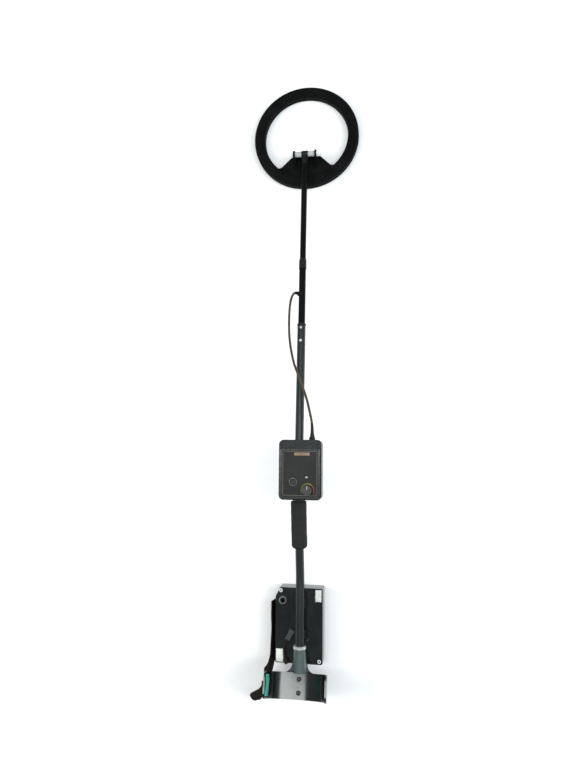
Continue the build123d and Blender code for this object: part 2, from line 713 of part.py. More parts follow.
with BuildPart() as tube_clamp_screws:
    with BuildSketch(Plane(origin=(0, box_centre[1], SADDLE_SPLIT_Z - CLAMP_DEPTH))):
        with GridLocations(*SADDLE_SCREWS, 2, 2):
            Circle(2.8)
    extrude(amount=-2.2)
    with BuildSketch(Plane(origin=(0, box_centre[1], SADDLE_SPLIT_Z - CLAMP_DEPTH))):
        with GridLocations(*SADDLE_SCREWS, 2, 2):
            Circle(1.55)
    extrude(amount=25)
tube_clamp_screws.part.label = "tube_clamp_screws"

with BuildPart() as box_cable_gland:
    with BuildSketch(Plane(origin=(GLAND_AT[0], box_front_y, GLAND_AT[1]), z_dir=(0, 1, 0))):
        RegularPolygon(6.5, 6)
    extrude(amount=GLAND_HEX_LENGTH)
    gland_nose_y = box_front_y + GLAND_HEX_LENGTH
    with BuildSketch(Plane(origin=(GLAND_AT[0], gland_nose_y, GLAND_AT[1]), z_dir=(0, 1, 0))):
        Circle(5)
    extrude(amount=GLAND_LENGTH - GLAND_HEX_LENGTH, taper=9)
box_cable_gland.part.label = "box_cable_gland"

# ---------------------------------------------------------------- rear box
rear_centre = (REAR_X, REAR_BACK_Y + REAR_LENGTH / 2)
rear_front_y = REAR_BACK_Y + REAR_LENGTH
rear_left_x = REAR_X - REAR_WIDTH / 2
rear_screws = [(-42.5, 66), (37, 65.5), (-47, -69.5), (37, -69.5)]


def rear_outline(inset):
    """The rear box's plan, with its front left corner cut off on the slant."""
    width = REAR_WIDTH - 2 * inset
    length = REAR_LENGTH - 2 * inset
    with Locations(rear_centre):
        RectangleRounded(width, length, REAR_CORNER_R - inset)
    Polygon(
        (rear_left_x - 1, rear_front_y - CUT_CORNER[1] - inset),
        (rear_left_x - 1, rear_front_y + 1),
        (rear_left_x + CUT_CORNER[0] + inset, rear_front_y + 1),
        align=None,
        mode=Mode.SUBTRACT,
    )


with BuildPart() as rear_box_base:
    with BuildSketch(Plane.XY):
        rear_outline(0)
    extrude(amount=REAR_BASE_TOP_Z)
    chamfer(rear_box_base.faces().sort_by(Axis.Z)[0].edges(), 1.5)
    with BuildSketch(Plane.XY.offset(REAR_WALL)):
        rear_outline(REAR_WALL)
    extrude(amount=REAR_TOP_Z, mode=Mode.SUBTRACT)
    with BuildSketch(Plane.XY.offset(REAR_WALL)):
        with Locations(*rear_screws):
            Circle(REAR_BOSS_R)
    extrude(amount=REAR_BASE_TOP_Z - REAR_WALL)
    with BuildSketch(Plane.XY.offset(12)):
        with Locations(*rear_screws):
            Circle(REAR_SCREW_HOLE_R)
    extrude(amount=REAR_TOP_Z, mode=Mode.SUBTRACT)
    with BuildSketch(Plane(origin=(REAR_X, PACK_Y, REAR_WALL))):
        with GridLocations(74, 92, 2, 2):
            Circle(2.6)
    extrude(amount=MAIN_BOARD_Z - REAR_WALL)
rear_box_base.part.label = "rear_box_base"

with BuildPart() as rear_box_gasket:
    with BuildSketch(Plane.XY.offset(REAR_BASE_TOP_Z)):
        rear_outline(0.3)
    extrude(amount=REAR_LID_Z - REAR_BASE_TOP_Z)
    with BuildSketch(Plane.XY.offset(REAR_BASE_TOP_Z)):
        rear_outline(2.3)
    extrude(amount=REAR_LID_Z - REAR_BASE_TOP_Z, mode=Mode.SUBTRACT)
rear_box_gasket.part.label = "rear_box_gasket"

with BuildPart() as rear_box_lid:
    with BuildSketch(Plane.XY.offset(REAR_LID_Z)):
        rear_outline(0)
    extrude(amount=REAR_TOP_Z - REAR_LID_Z)
    chamfer(rear_box_lid.faces().sort_by(Axis.Z)[-1].edges(), 1.2)
    with BuildSketch(Plane(origin=(*rear_centre, REAR_LID_Z))):
        Rectangle(REAR_WIDTH - 22, REAR_LENGTH - 24)
        with Locations((SOCKET_AT[0] - rear_centre[0], SOCKET_AT[1] - rear_centre[1])):
            Circle(8.6)
    extrude(amount=REAR_TOP_Z - REAR_LID_Z - 3, mode=Mode.SUBTRACT)
    with BuildSketch(Plane.XY.offset(REAR_LID_Z)):
        with Locations(*rear_screws):
            Circle(REAR_SCREW_HOLE_R)
        with Locations(SOCKET_AT):
            Circle(SOCKET_THREAD_R + 0.1)
    extrude(amount=REAR_TOP_Z, mode=Mode.SUBTRACT)
    with BuildSketch(Plane.XY.offset(REAR_TOP_Z - REAR_SCREW_HEAD_DEPTH)):
        with Locations(*rear_screws):
            Circle(REAR_SCREW_HEAD_R + 0.1)
    extrude(amount=3, mode=Mode.SUBTRACT)
rear_box_lid.part.label = "rear_box_lid"

with BuildPart() as rear_box_screws:
    with BuildSketch(Plane.XY.offset(REAR_TOP_Z - REAR_SCREW_HEAD_DEPTH)):
        with Locations(*rear_screws):
            Circle(REAR_SCREW_HEAD_R)
    extrude(amount=REAR_SCREW_HEAD_DEPTH)
    with BuildSketch(Plane.XY.offset(14)):
        with Locations(*rear_screws):
            Circle(REAR_SCREW_HOLE_R - 0.1)
    extrude(amount=REAR_TOP_Z - 14 - 1)
rear_box_screws.part.label = "rear_box_screws"

with BuildPart() as battery_holder:
    with BuildSketch(Plane(origin=(REAR_X, PACK_Y, REAR_WALL))):
        Rectangle(66, 110)
    extrude(amount=8)
    with BuildSketch(Plane(origin=(REAR_X, PACK_Y, REAR_WALL + 1.5))):
        with GridLocations(0, 54.5, 1, 2):
            Rectangle(62, 52.5)
    extrude(amount=8, mode=Mode.SUBTRACT)
battery_holder.part.label = "battery_holder"


def cell_plane(y):
    return Plane(origin=(REAR_X, y, CELL_Z), x_dir=(1, 0, 0), z_dir=(0, 1, 0))


with BuildPart() as battery_cells:
    for row in (-1, 1):
        with BuildSketch(cell_plane(PACK_Y + row * CELL_ROW - CELL_LENGTH / 2)):
            with GridLocations(15.2, 0, 4, 1):
                Circle(7.2)
        extrude(amount=CELL_LENGTH)
        with BuildSketch(cell_plane(PACK_Y + row * CELL_ROW + CELL_LENGTH / 2)):
            with GridLocations(15.2, 0, 4, 1):
                Circle(2.7)
        extrude(amount=1)
battery_cells.part.label = "battery_cells"

with BuildPart() as main_board:
    with BuildSketch(Plane(origin=(REAR_X, PACK_Y, MAIN_BOARD_Z))):
        Rectangle(76, 96)
    extrude(amount=BOARD_THICKNESS)
    with BuildSketch(Plane(origin=(REAR_X, PACK_Y, MAIN_BOARD_Z + BOARD_THICKNESS))):
        with GridLocations(26, 30, 3, 3):
            Rectangle(12, 9)
    extrude(amount=3)
main_board.part.label = "main_board"

with BuildPart() as sounder:
    with BuildSketch(Plane(origin=(REAR_X + 22, 54, REAR_WALL))):
        Circle(12)
    extrude(amount=14)
    with BuildSketch(Plane(origin=(REAR_X + 22, 54, REAR_WALL + 13))):
        Circle(3)
    extrude(amount=2, mode=Mode.SUBTRACT)
sounder.part.label = "sounder"

with BuildPart() as headphone_socket:
    with BuildSketch(Plane(origin=(*SOCKET_AT, 8))):
        Circle(8)
    extrude(amount=REAR_TOP_Z - 3 - 8)
    with BuildSketch(Plane(origin=(*SOCKET_AT, REAR_TOP_Z - 3))):
        Circle(SOCKET_THREAD_R)
    extrude(amount=7.5)
    with BuildSketch(Plane(origin=(*SOCKET_AT, 10))):
        Circle(SOCKET_BORE_R)
    extrude(amount=REAR_TOP_Z, mode=Mode.SUBTRACT)
headphone_socket.part.label = "headphone_socket"

with BuildPart() as headphone_socket_nut:
    with BuildSketch(Plane(origin=(*SOCKET_AT, REAR_TOP_Z))):
        Circle(SOCKET_NUT_R)
        Circle(SOCKET_THREAD_R + FIT, mode=Mode.SUBTRACT)
    extrude(amount=3.4)
    chamfer(headphone_socket_nut.edges().group_by(Axis.Z)[-1], 0.8)
headphone_socket_nut.part.label = "headphone_socket_nut"

with BuildPart() as fastening_pads:
    with BuildSketch(Plane.XY.offset(REAR_TOP_Z)):
        with Locations((35, 58)):
            RectangleRounded(13, 24, 1.5)
        with Locations((-43.5, -61)):
            RectangleRounded(16, 26, 1.5)
    extrude(amount=PAD_THICKNESS)
fastening_pads.part.label = "fastening_pads"

with BuildPart() as rear_box_saddles:
    with BuildSketch(Plane(origin=(0, 0, REAR_TOP_Z))):
        with Locations((0, 46), (0, -14)):
            Rectangle(22, 18)
    extrude(amount=REAR_Z - REAR_TOP_Z - 3)
    with BuildSketch(shaft_start):
        Circle(UPPER_R + SEAT_FIT)
    sweep(path=shaft_path, mode=Mode.SUBTRACT)
rear_box_saddles.part.label = "rear_box_saddles"

# ---------------------------------------------------------------- arm cuff
cuff_axis = Vector(0, cos(radians(CUFF_LEAN)), -sin(radians(CUFF_LEAN)))
cuff_plane = Plane(origin=(0, CUFF_Y, CUFF_Z), x_dir=(-1, 0, 0), z_dir=cuff_axis)
cuff_up = cuff_plane.y_dir
cuff_seat = Plane(origin=cuff_plane.origin, x_dir=(-1, 0, 0), z_dir=cuff_up)  # local Y points back

with BuildPart() as cuff_shell:
    with BuildSketch(cuff_plane):
        with BuildLine():
            FilletPolyline(
                (-CUFF_HALF_WIDTH, CUFF_HEIGHT),
                (-CUFF_HALF_WIDTH + 1, 22),
                (-26, 0),
                (26, 0),
                (CUFF_HALF_WIDTH - 1, 22),
                (CUFF_HALF_WIDTH, CUFF_HEIGHT),
                radius=[CUFF_WING_R, CUFF_FLOOR_R, CUFF_FLOOR_R, CUFF_WING_R],
            )
            offset(amount=CUFF_THICKNESS, side=Side.LEFT)
        make_face()
    extrude(amount=CUFF_HALF_LENGTH, both=True)
    wing_tips = cuff_shell.faces().sort_by(Axis(cuff_plane.origin, cuff_up))[-2:]
    fillet([edge for tip in wing_tips for edge in tip.edges().sort_by(SortBy.LENGTH)[:2]], 10)
    with BuildSketch(cuff_seat):
        with GridLocations(0, CUFF_SCREW_SPACING, 1, 2):
            Circle(CUFF_SCREW_HOLE_R)
    extrude(amount=20, both=True, mode=Mode.SUBTRACT)
cuff_shell.part.label = "cuff_shell"

with BuildPart() as cuff_bracket:
    with BuildSketch(Plane(origin=(0, CUFF_RING_Y, REAR_Z), x_dir=(1, 0, 0), z_dir=(0, -1, 0))):
        Circle(11.5)
    extrude(amount=44, taper=-4.5)
    with BuildSketch(cuff_seat):
        with Locations((0, -6)):
            Rectangle(32, 56)
    extrude(amount=-4)
    with BuildSketch(Plane(origin=(0, -20, REAR_Z), x_dir=(1, 0, 0), z_dir=(0, -1, 0))):
        Circle(UPPER_R + SEAT_FIT)
    extrude(amount=66, mode=Mode.SUBTRACT)
    with BuildSketch(cuff_seat):
        with GridLocations(0, CUFF_SCREW_SPACING, 1, 2):
            Circle(CUFF_SCREW_HOLE_R)
    extrude(amount=20, both=True, mode=Mode.SUBTRACT)
cuff_bracket.part.label = "cuff_bracket"

with BuildPart() as cuff_screws:
    with BuildSketch(cuff_seat.offset(CUFF_THICKNESS)):
        with GridLocations(0, CUFF_SCREW_SPACING, 1, 2):
            Circle(4.5)
    extrude(amount=2.6)
    fillet(cuff_screws.faces().sort_by(Axis(cuff_plane.origin, cuff_up))[-2:].edges(), 1.5)
    with BuildSketch(cuff_seat.offset(CUFF_THICKNESS)):
        with GridLocations(0, CUFF_SCREW_SPACING, 1, 2):
            Circle(CUFF_SCREW_HOLE_R - 0.1)
    extrude(amount=-13)
    with BuildSketch(cuff_seat.offset(-4)):
        with GridLocations(0, CUFF_SCREW_SPACING, 1, 2):
            RegularPolygon(4.6, 6)
    extrude(amount=-3.5)
cuff_screws.part.label = "cuff_screws"

with BuildPart() as cuff_ring:
    with BuildSketch(Plane(origin=(0, CUFF_RING_Y, REAR_Z), x_dir=(-1, 0, 0), z_dir=(0, 1, 0))):
        Circle(CUFF_RING_R)
        Circle(UPPER_R + SEAT_FIT, mode=Mode.SUBTRACT)
    extrude(amount=5)
    chamfer(cuff_ring.faces().sort_by(Axis.Y)[-1].edges().sort_by(SortBy.RADIUS)[-1], 1.2)
cuff_ring.part.label = "cuff_ring"

# ---------------------------------------------------------------- arm strap
with BuildPart() as arm_strap:
    with BuildSketch(Plane(origin=(0, STRAP_FRONT_Y, 0), x_dir=(-1, 0, 0), z_dir=(0, 1, 0))):
        Polygon((54.6, 1), (57.2, 1), (63.5, 37), (60.9, 37), align=None)
    extrude(amount=-STRAP_LENGTH)
    with BuildSketch(Plane.YZ.offset(STRAP_RISER_X)):
        Polygon((-58, 34), (-92, 34), (-104, 70), (-98, 106), (-66, 106), (-72, 70), align=None)
    extrude(amount=-STRAP_THICKNESS)
arm_strap.part.label = "arm_strap"

with BuildPart() as strap_lining:
    with BuildSketch(cuff_plane):
        with Locations((CUFF_HALF_WIDTH - 5.6, 49)):
            Rectangle(1.8, 24)
    extrude(amount=19, both=True)
strap_lining.part.label = "strap_lining"

tail_plane = Plane(origin=(-64, -90, 104), x_dir=(-27, 0, -98), z_dir=(-98, 0, 27))
with BuildPart() as strap_tail:
    with BuildSketch(tail_plane):
        Polygon((0, 0), (0, 30), (58, 50), (100, 76), (104, 66), (66, 22), align=None)
    extrude(amount=STRAP_THICKNESS)
strap_tail.part.label = "strap_tail"


# ---------------------------------------------------------------- cables
def corner_radii(route):
    """The largest arcs that a cable's route has room for, one at each inner point."""
    radii = []
    for before, corner, after in zip(route, route[1:], route[2:]):
        run_in = Vector(corner) - Vector(before)
        run_out = Vector(after) - Vector(corner)
        turn = radians(run_in.get_angle(run_out))
        radii.append(0.45 * min(run_in.length, run_out.length) / tan(turn / 2))
    return radii


def cable_path(name, route):
    """A cable's line: the route's straight runs joined by tangent arcs."""
    radii = corner_radii(route)
    with BuildLine() as line:
        FilletPolyline(*route, radius=radii)
    path = line.wire()
    print(name, "radii", [round(radius, 1) for radius in radii], "length", round(path.length, 1))
    return path


grommet_out = radial_plane(CABLE_EXIT_Y, CABLE_EXIT_TURN)
coil_cable_start = grommet_out.origin + grommet_out.z_dir * CABLE_EXIT_HEIGHT
coil_cable_route = [
    tuple(coil_cable_start),
    tuple(coil_cable_start + grommet_out.z_dir * 11),
    (-19.5, 670.5, 81),
    (-24, 651, 75),
    (-27, 622, 64),
    (-26.5, 588, 61),
    (-20.5, 556, 70),
    (-12.5, 529, 86),
    (-4.5, 510, 93.5),
    (6, 484, 96),
    (16, 456, 97),
    (23.5, 427, 103),
    (GLAND_AT[0], box_front_y + GLAND_LENGTH + 18, GLAND_AT[1]),
    (GLAND_AT[0], box_front_y + GLAND_LENGTH, GLAND_AT[1]),
]
coil_cable_path = cable_path("coil_cable", coil_cable_route)
with BuildPart() as coil_cable:
    with BuildSketch(Plane(origin=coil_cable_path @ 0, z_dir=coil_cable_path % 0)):
        Circle(CABLE_R)
    sweep(path=coil_cable_path)
coil_cable.part.label = "coil_cable"

plug_axis = Vector(-7, -13, 0).normalized()
plug_plane = Plane(origin=(-20, -15, LEAD_Z), x_dir=(0, 0, 1), z_dir=plug_axis)
with BuildPart() as lead_socket:
    with BuildSketch(plug_plane):
        Rectangle(2 * (LEAD_Z - REAR_TOP_Z), 11)
    extrude(amount=-7)
lead_socket.part.label = "lead_socket"

with BuildPart() as lead_plug:
    with BuildSketch(plug_plane):
        RectangleRounded(8, 10, 1.5)
    extrude(amount=LEAD_PLUG_LENGTH)
lead_plug.part.label = "lead_plug"

lead_start = plug_plane.origin + plug_axis * LEAD_PLUG_LENGTH
power_lead_route = [
    tuple(lead_start),
    tuple(lead_start + plug_axis * 9.5),
    (-34.4, -46, LEAD_Z),
    (-34.2, -56.4, LEAD_Z),
    (-30.5, -66, LEAD_Z),
]
power_lead_path = cable_path("power_lead", power_lead_route)
with BuildPart() as power_lead:
    with BuildSketch(Plane(origin=power_lead_path @ 0, z_dir=power_lead_path % 0)):
        Circle(LEAD_R)
    sweep(path=power_lead_path)
power_lead.part.label = "power_lead"

with BuildPart() as lead_gland:
    with BuildSketch(Plane(origin=power_lead_path @ 1, x_dir=(0, 0, 1), z_dir=power_lead_path % 1)):
        Rectangle(2 * (LEAD_Z - REAR_TOP_Z), 8)
    extrude(amount=9)
lead_gland.part.label = "lead_gland"

for cable, radius, path in (
    (coil_cable, CABLE_R, coil_cable_path),
    (power_lead, LEAD_R, power_lead_path),
):
    print(cable.part.label, "volume share", cable.part.volume / (pi * radius**2 * path.length))

pieces = (
    upper_tube, tube_end_plug, tube_mouth_bush, tube_screw, middle_tube, cable_grommet,
    rod_collet, lock_nut, snap_button, snap_button_spring, lower_rod, rod_tongue, pivot_spacers,
    hand_grip, coil_top_shell, coil_bottom_shell, search_winding, coil_cable_gland, pivot_bolt,
    pivot_nut, control_box_base, control_box_gasket, control_box_lid, control_face_plate,
    control_box_screws, control_board, gain_potentiometer, gain_pot_shaft, gain_knob, power_key,
    key_surround, status_light, control_box_saddle, tube_clamps, tube_clamp_screws,
    box_cable_gland, rear_box_base, rear_box_gasket, rear_box_lid, rear_box_screws,
    battery_holder, battery_cells, main_board, sounder, headphone_socket, headphone_socket_nut,
    fastening_pads, rear_box_saddles, cuff_shell, cuff_bracket, cuff_screws, cuff_ring,
    arm_strap, strap_lining, strap_tail, coil_cable, lead_socket, lead_plug, power_lead,
    lead_gland,
)
for piece in pieces:
    export_step(piece.part, f"parts/{piece.part.label}.step")
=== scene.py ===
import math
import random

import bpy
from mathutils import Euler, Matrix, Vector, noise


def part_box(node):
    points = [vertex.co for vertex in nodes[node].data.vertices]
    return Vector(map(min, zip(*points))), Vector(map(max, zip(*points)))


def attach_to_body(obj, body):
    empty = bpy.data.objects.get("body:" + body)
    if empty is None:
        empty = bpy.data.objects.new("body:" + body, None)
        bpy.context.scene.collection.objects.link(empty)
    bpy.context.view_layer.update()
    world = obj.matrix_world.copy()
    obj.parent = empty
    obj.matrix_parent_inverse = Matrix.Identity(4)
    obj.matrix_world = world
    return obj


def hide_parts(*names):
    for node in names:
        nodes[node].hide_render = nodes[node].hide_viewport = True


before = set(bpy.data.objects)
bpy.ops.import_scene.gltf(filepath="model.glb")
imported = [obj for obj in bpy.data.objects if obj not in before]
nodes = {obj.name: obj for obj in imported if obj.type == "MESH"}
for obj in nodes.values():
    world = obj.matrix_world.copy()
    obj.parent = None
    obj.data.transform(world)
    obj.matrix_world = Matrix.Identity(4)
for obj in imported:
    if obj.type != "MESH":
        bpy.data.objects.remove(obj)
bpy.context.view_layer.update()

scene = bpy.context.scene

# ---------------------------------------------------------------- camera
# Where the photograph was taken from, fitted to the parts that it shows.
CAMERA_PLACE = (0.1771, 0.3385, 1.2947)
CAMERA_TURN = (6.96, 9.378, 0.583)  # degrees about X, Y and Z
LENS = 28.2  # mm
SENSOR_WIDTH = 36  # mm

camera_data = bpy.data.cameras.new("camera")
camera_data.lens = LENS
camera_data.sensor_width = SENSOR_WIDTH
camera_data.clip_start = 0.01
camera = bpy.data.objects.new("camera", camera_data)
camera.location = CAMERA_PLACE
camera.rotation_euler = Euler([math.radians(turn) for turn in CAMERA_TURN])
scene.collection.objects.link(camera)
scene.camera = camera


# ---------------------------------------------------------------- mesh helpers
def add_mesh(name, points, faces, smooth=True):
    """A new object in the scene, from its points and faces."""
    mesh = bpy.data.meshes.new(name)
    mesh.from_pydata([tuple(point) for point in points], [], faces)
    mesh.update()
    if smooth:
        mesh.shade_smooth()
    piece = bpy.data.objects.new(name, mesh)
    scene.collection.objects.link(piece)
    return piece


def grid_faces(rows, columns, wrap_rows=False, wrap_columns=False):
    """Quads over points laid out row by row, closed round either way where asked."""
    faces = []
    for i in range(rows if wrap_rows else rows - 1):
        here, below = i * columns, (i + 1) % rows * columns
        for j in range(columns if wrap_columns else columns - 1):
            right = (j + 1) % columns
            faces.append((here + j, here + right, below + right, below + j))
    return faces


def apply_modifiers(piece):
    """Bakes a piece's modifiers into its mesh."""
    graph = bpy.context.evaluated_depsgraph_get()
    mesh = bpy.data.meshes.new_from_object(piece.evaluated_get(graph))
    piece.modifiers.clear()
    piece.data = mesh
    return piece


def attach(piece, body="shaft_frame"):
    """Gives a piece the body that it rides on."""
    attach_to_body(piece, body)
    return piece


BUMP_FREQUENCY = 90  # per metre, on a turned form
STRIP_COLUMNS = 15
RIPPLE_FREQUENCY = 25  # per metre, along a strap
RIPPLE_SEED = 3.1


def lathe(name, profile, origin, axis, turns=64, bumps=0.0):
    """A closed form turned round an axis. profile is a closed loop of (distance along, radius)."""
    axis = Vector(axis).normalized()
    side = axis.orthogonal().normalized()
    other = axis.cross(side)
    points = []
    for along, radius in profile:
        for k in range(turns):
            angle = 2 * math.pi * k / turns
            out = side * math.cos(angle) + other * math.sin(angle)
            point = Vector(origin) + axis * along + out * radius
            if bumps:
                point += out * bumps * noise.noise(point * BUMP_FREQUENCY)
            points.append(point)
    return add_mesh(name, points, grid_faces(len(profile), turns, True, True))


def strip(name, centres, acrosses, normals, thickness, ripple=0.0):
    """A band of webbing and its length, from centres along it and half-width vectors across it."""
    columns = STRIP_COLUMNS
    length = 0.0
    points, coordinates = [], []
    for i, (centre, across, normal) in enumerate(zip(centres, acrosses, normals)):
        if i:
            length += (centre - centres[i - 1]).length
        for j in range(columns):
            share = 2 * j / (columns - 1) - 1
            point = centre + across * share
            point += normal * ripple * noise.noise(Vector((length * RIPPLE_FREQUENCY, share, RIPPLE_SEED)))
            points.append(point)
            coordinates.append(((share + 1) * across.length, length))
    piece = add_mesh(name, points, grid_faces(len(centres), columns))
    layer = piece.data.uv_layers.new(name="UVMap")
    for loop in piece.data.loops:
        layer.data[loop.index].uv = coordinates[loop.vertex_index]
    thicken = piece.modifiers.new("thickness", "SOLIDIFY")
    thicken.thickness = thickness
    thicken.offset = 0
    edge = piece.modifiers.new("edge", "BEVEL")
    edge.width = thickness * 0.3
    edge.segments = 2
    edge.limit_method = "ANGLE"
    edge.angle_limit = math.radians(60)
    return apply_modifiers(piece), length


SPAN_POINTS = 12


def smooth_points(corners):
    """Points on one smooth curve through the corners."""
    points = []
    padded = [2 * corners[0] - corners[1]] + list(corners) + [2 * corners[-1] - corners[-2]]
    for a, b, c, d in zip(padded, padded[1:], padded[2:], padded[3:]):
        for k in range(SPAN_POINTS):
            t = k / SPAN_POINTS
            bend = (2 * a - 5 * b + 4 * c - d) * t * t
            turn = (3 * b - a - 3 * c + d) * t**3
            points.append(0.5 * (2 * b + (c - a) * t + bend + turn))
    points.append(corners[-1].copy())
    return points


# ---------------------------------------------------------------- cords
def cord_curve(name, route, diameter):
    """A cord's route as one open NURBS curve, round in section."""
    curve = bpy.data.curves.new(name, "CURVE")
    curve.dimensions = "3D"
    curve.bevel_depth = diameter / 2
    curve.bevel_resolution = 7
    curve.resolution_u = 24
    curve.use_fill_caps = True
    spline = curve.splines.new("NURBS")
    spline.points.add(len(route) - 1)
    for point, place in zip(spline.points, route):
        point.co = (*place, 1)
    spline.order_u = 3
    spline.use_endpoint_u = True
    piece = bpy.data.objects.new(name, curve)
    scene.collection.objects.link(piece)
    return piece


def curve_mesh(name, route, diameter):
    """The mesh of a cord's curve: its bare line where the diameter is 0, else its tube."""
    curve = cord_curve(name + "_curve", route, diameter)
    graph = bpy.context.evaluated_depsgraph_get()
    mesh = bpy.data.meshes.new_from_object(curve.evaluated_get(graph))
    bpy.data.objects.remove(curve)
    return mesh


def cord_tube(name, route, diameter):
    """A cord as a tube, and the points of the smooth line that it follows."""
    mesh = curve_mesh(name, route, diameter)
    mesh.shade_smooth()
    piece = bpy.data.objects.new(name, mesh)
    scene.collection.objects.link(piece)
    return piece, [vertex.co.copy() for vertex in curve_mesh(name, route, 0).vertices]


CABLE_DIAMETER = 0.005
CABLE_ROUTE = [
    (-0.0065, 0.6808, 0.0681),
    (-0.0128, 0.6815, 0.0770),
    (-0.0195, 0.6705, 0.081),
    (-0.024, 0.651, 0.075),
    (-0.027, 0.622, 0.064),
    (-0.0265, 0.588, 0.061),
    (-0.0205, 0.556, 0.070),
    (-0.0125, 0.529, 0.086),
    (-0.0045, 0.510, 0.0935),
    (0.006, 0.484, 0.096),
    (0.016, 0.456, 0.097),
    (0.0235, 0.427, 0.103),
    (0.030, 0.403, 0.114),
    (0.030, 0.385, 0.114),
]
cable, cable_line = cord_tube("coil_cable_sheath", CABLE_ROUTE, CABLE_DIAMETER)
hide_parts("coil_cable")
attach(cable)

LEAD_DIAMETER = 0.004
LEAD_ROUTE = [
    (-0.0271, -0.0282, 0.043),
    (-0.0316, -0.0366, 0.043),
    (-0.0344, -0.0460, 0.043),
    (-0.0342, -0.0564, 0.043),
    (-0.0305, -0.0660, 0.043),
]
lead, lead_line = cord_tube("power_lead_sheath", LEAD_ROUTE, LEAD_DIAMETER)
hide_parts("power_lead")
attach(lead)

BOOT_SIDES = 28
BOOT_RIB = 0.0004


def strain_relief(name, points, base_radius, tip_radius, length):
    """A tapered, ribbed sleeve that follows a cord's line from its first point."""
    stations, walked = [], 0.0
    for here, ahead in zip(points, points[1:]):
        if walked >= length:
            break
        stations.append((here, (ahead - here).normalized(), walked / length))
        walked += (ahead - here).length
    rings = []
    for k, (point, along, share) in enumerate(stations):
        side = along.cross(Vector((0, 0, 1))).normalized()
        other = along.cross(side)
        radius = base_radius + (tip_radius - base_radius) * share
        if k % 2:
            radius -= BOOT_RIB
        if k == len(stations) - 1:
            radius = tip_radius * 0.9
        for t in range(BOOT_SIDES):
            angle = 2 * math.pi * t / BOOT_SIDES
            rings.append(point + (side * math.cos(angle) + other * math.sin(angle)) * radius)
    count = len(stations)
    faces = grid_faces(count, BOOT_SIDES, False, True)
    faces.append(tuple(range(BOOT_SIDES))[::-1])
    faces.append(tuple(range((count - 1) * BOOT_SIDES, count * BOOT_SIDES)))
    return add_mesh(name, rings, faces)


exit_boot = strain_relief("cable_exit_boot", cable_line, 0.0039, 0.0028, 0.012)
gland_boot = strain_relief("cable_gland_boot", cable_line[::-1], 0.0036, 0.0028, 0.020)
attach(exit_boot)
attach(gland_boot)


# ---------------------------------------------------------------- materials
class Graph:
    """A short way to write a material's nodes."""

    def __init__(self, name):
        self.material = bpy.data.materials.new(name)
        self.material.use_nodes = True
        self.tree = self.material.node_tree
        self.shader = self.tree.nodes["Principled BSDF"]
        self.place = self.tree.nodes.new("ShaderNodeTexCoord").outputs["Object"]

    def node(self, kind, values=(), **settings):
        """A node with its settings, and each input given a value or another node's output."""
        made = self.tree.nodes.new(kind)
        for key, value in settings.items():
            setattr(made, key, value)
        for key, value in dict(values).items():
            if isinstance(value, bpy.types.NodeSocket):
                self.tree.links.new(value, made.inputs[key])
            else:
                made.inputs[key].default_value = value
        return made

    def noise(self, scale, detail=4.0, roughness=0.55, stretch=None):
        """Noise at a scale per metre, stretched where asked."""
        place = self.place
        if stretch:
            place = self.node("ShaderNodeMapping", {"Vector": place, "Scale": stretch}).outputs["Vector"]
        values = {"Vector": place, "Scale": scale, "Detail": detail, "Roughness": roughness}
        return self.node("ShaderNodeTexNoise", values).outputs["Fac"]

    def span(self, value, low, high, to_low, to_high):
        """A value's run from low to high carried to another run, and held at its ends."""
        values = {"Value": value, "From Min": low, "From Max": high, "To Min": to_low, "To Max": to_high}
        return self.node("ShaderNodeMapRange", values).outputs["Result"]

    def mix(self, share, first, second):
        """Two colours mixed. The Mix node's colours are its inputs 6 and 7, and its output 2."""
        made = self.node("ShaderNodeMix", data_type="RGBA")
        for socket, value in ((made.inputs[0], share), (made.inputs[6], first), (made.inputs[7], second)):
            if isinstance(value, bpy.types.NodeSocket):
                self.tree.links.new(value, socket)
            else:
                socket.default_value = value
        return made.outputs[2]

    def math(self, operation, first, second):
        made = self.node("ShaderNodeMath", {0: first, 1: second}, operation=operation)
        return made.outputs["Value"]

    def bump(self, height, strength, distance, under=None):
        """A bump over another one, if there is one under it."""
        values = {"Height": height, "Strength": strength, "Distance": distance}
        if under is not None:
            values["Normal"] = under
        return self.node("ShaderNodeBump", values).outputs["Normal"]

    def finish(self, **sockets):
        """The material, with the shader's own sockets set or linked."""
        for key, value in sockets.items():
            socket = self.shader.inputs[key.replace("_", " ")]
            if isinstance(value, bpy.types.NodeSocket):
                self.tree.links.new(value, socket)
            else:
                socket.default_value = value
        return self.material


def shade(colour, factor):
    """A colour made lighter or darker, with full alpha."""
    return tuple(min(1.0, channel * factor) for channel in colour[:3]) + (1.0,)


SCRATCH_STRETCH = (1, 0.06, 1)  # scratches run along Y


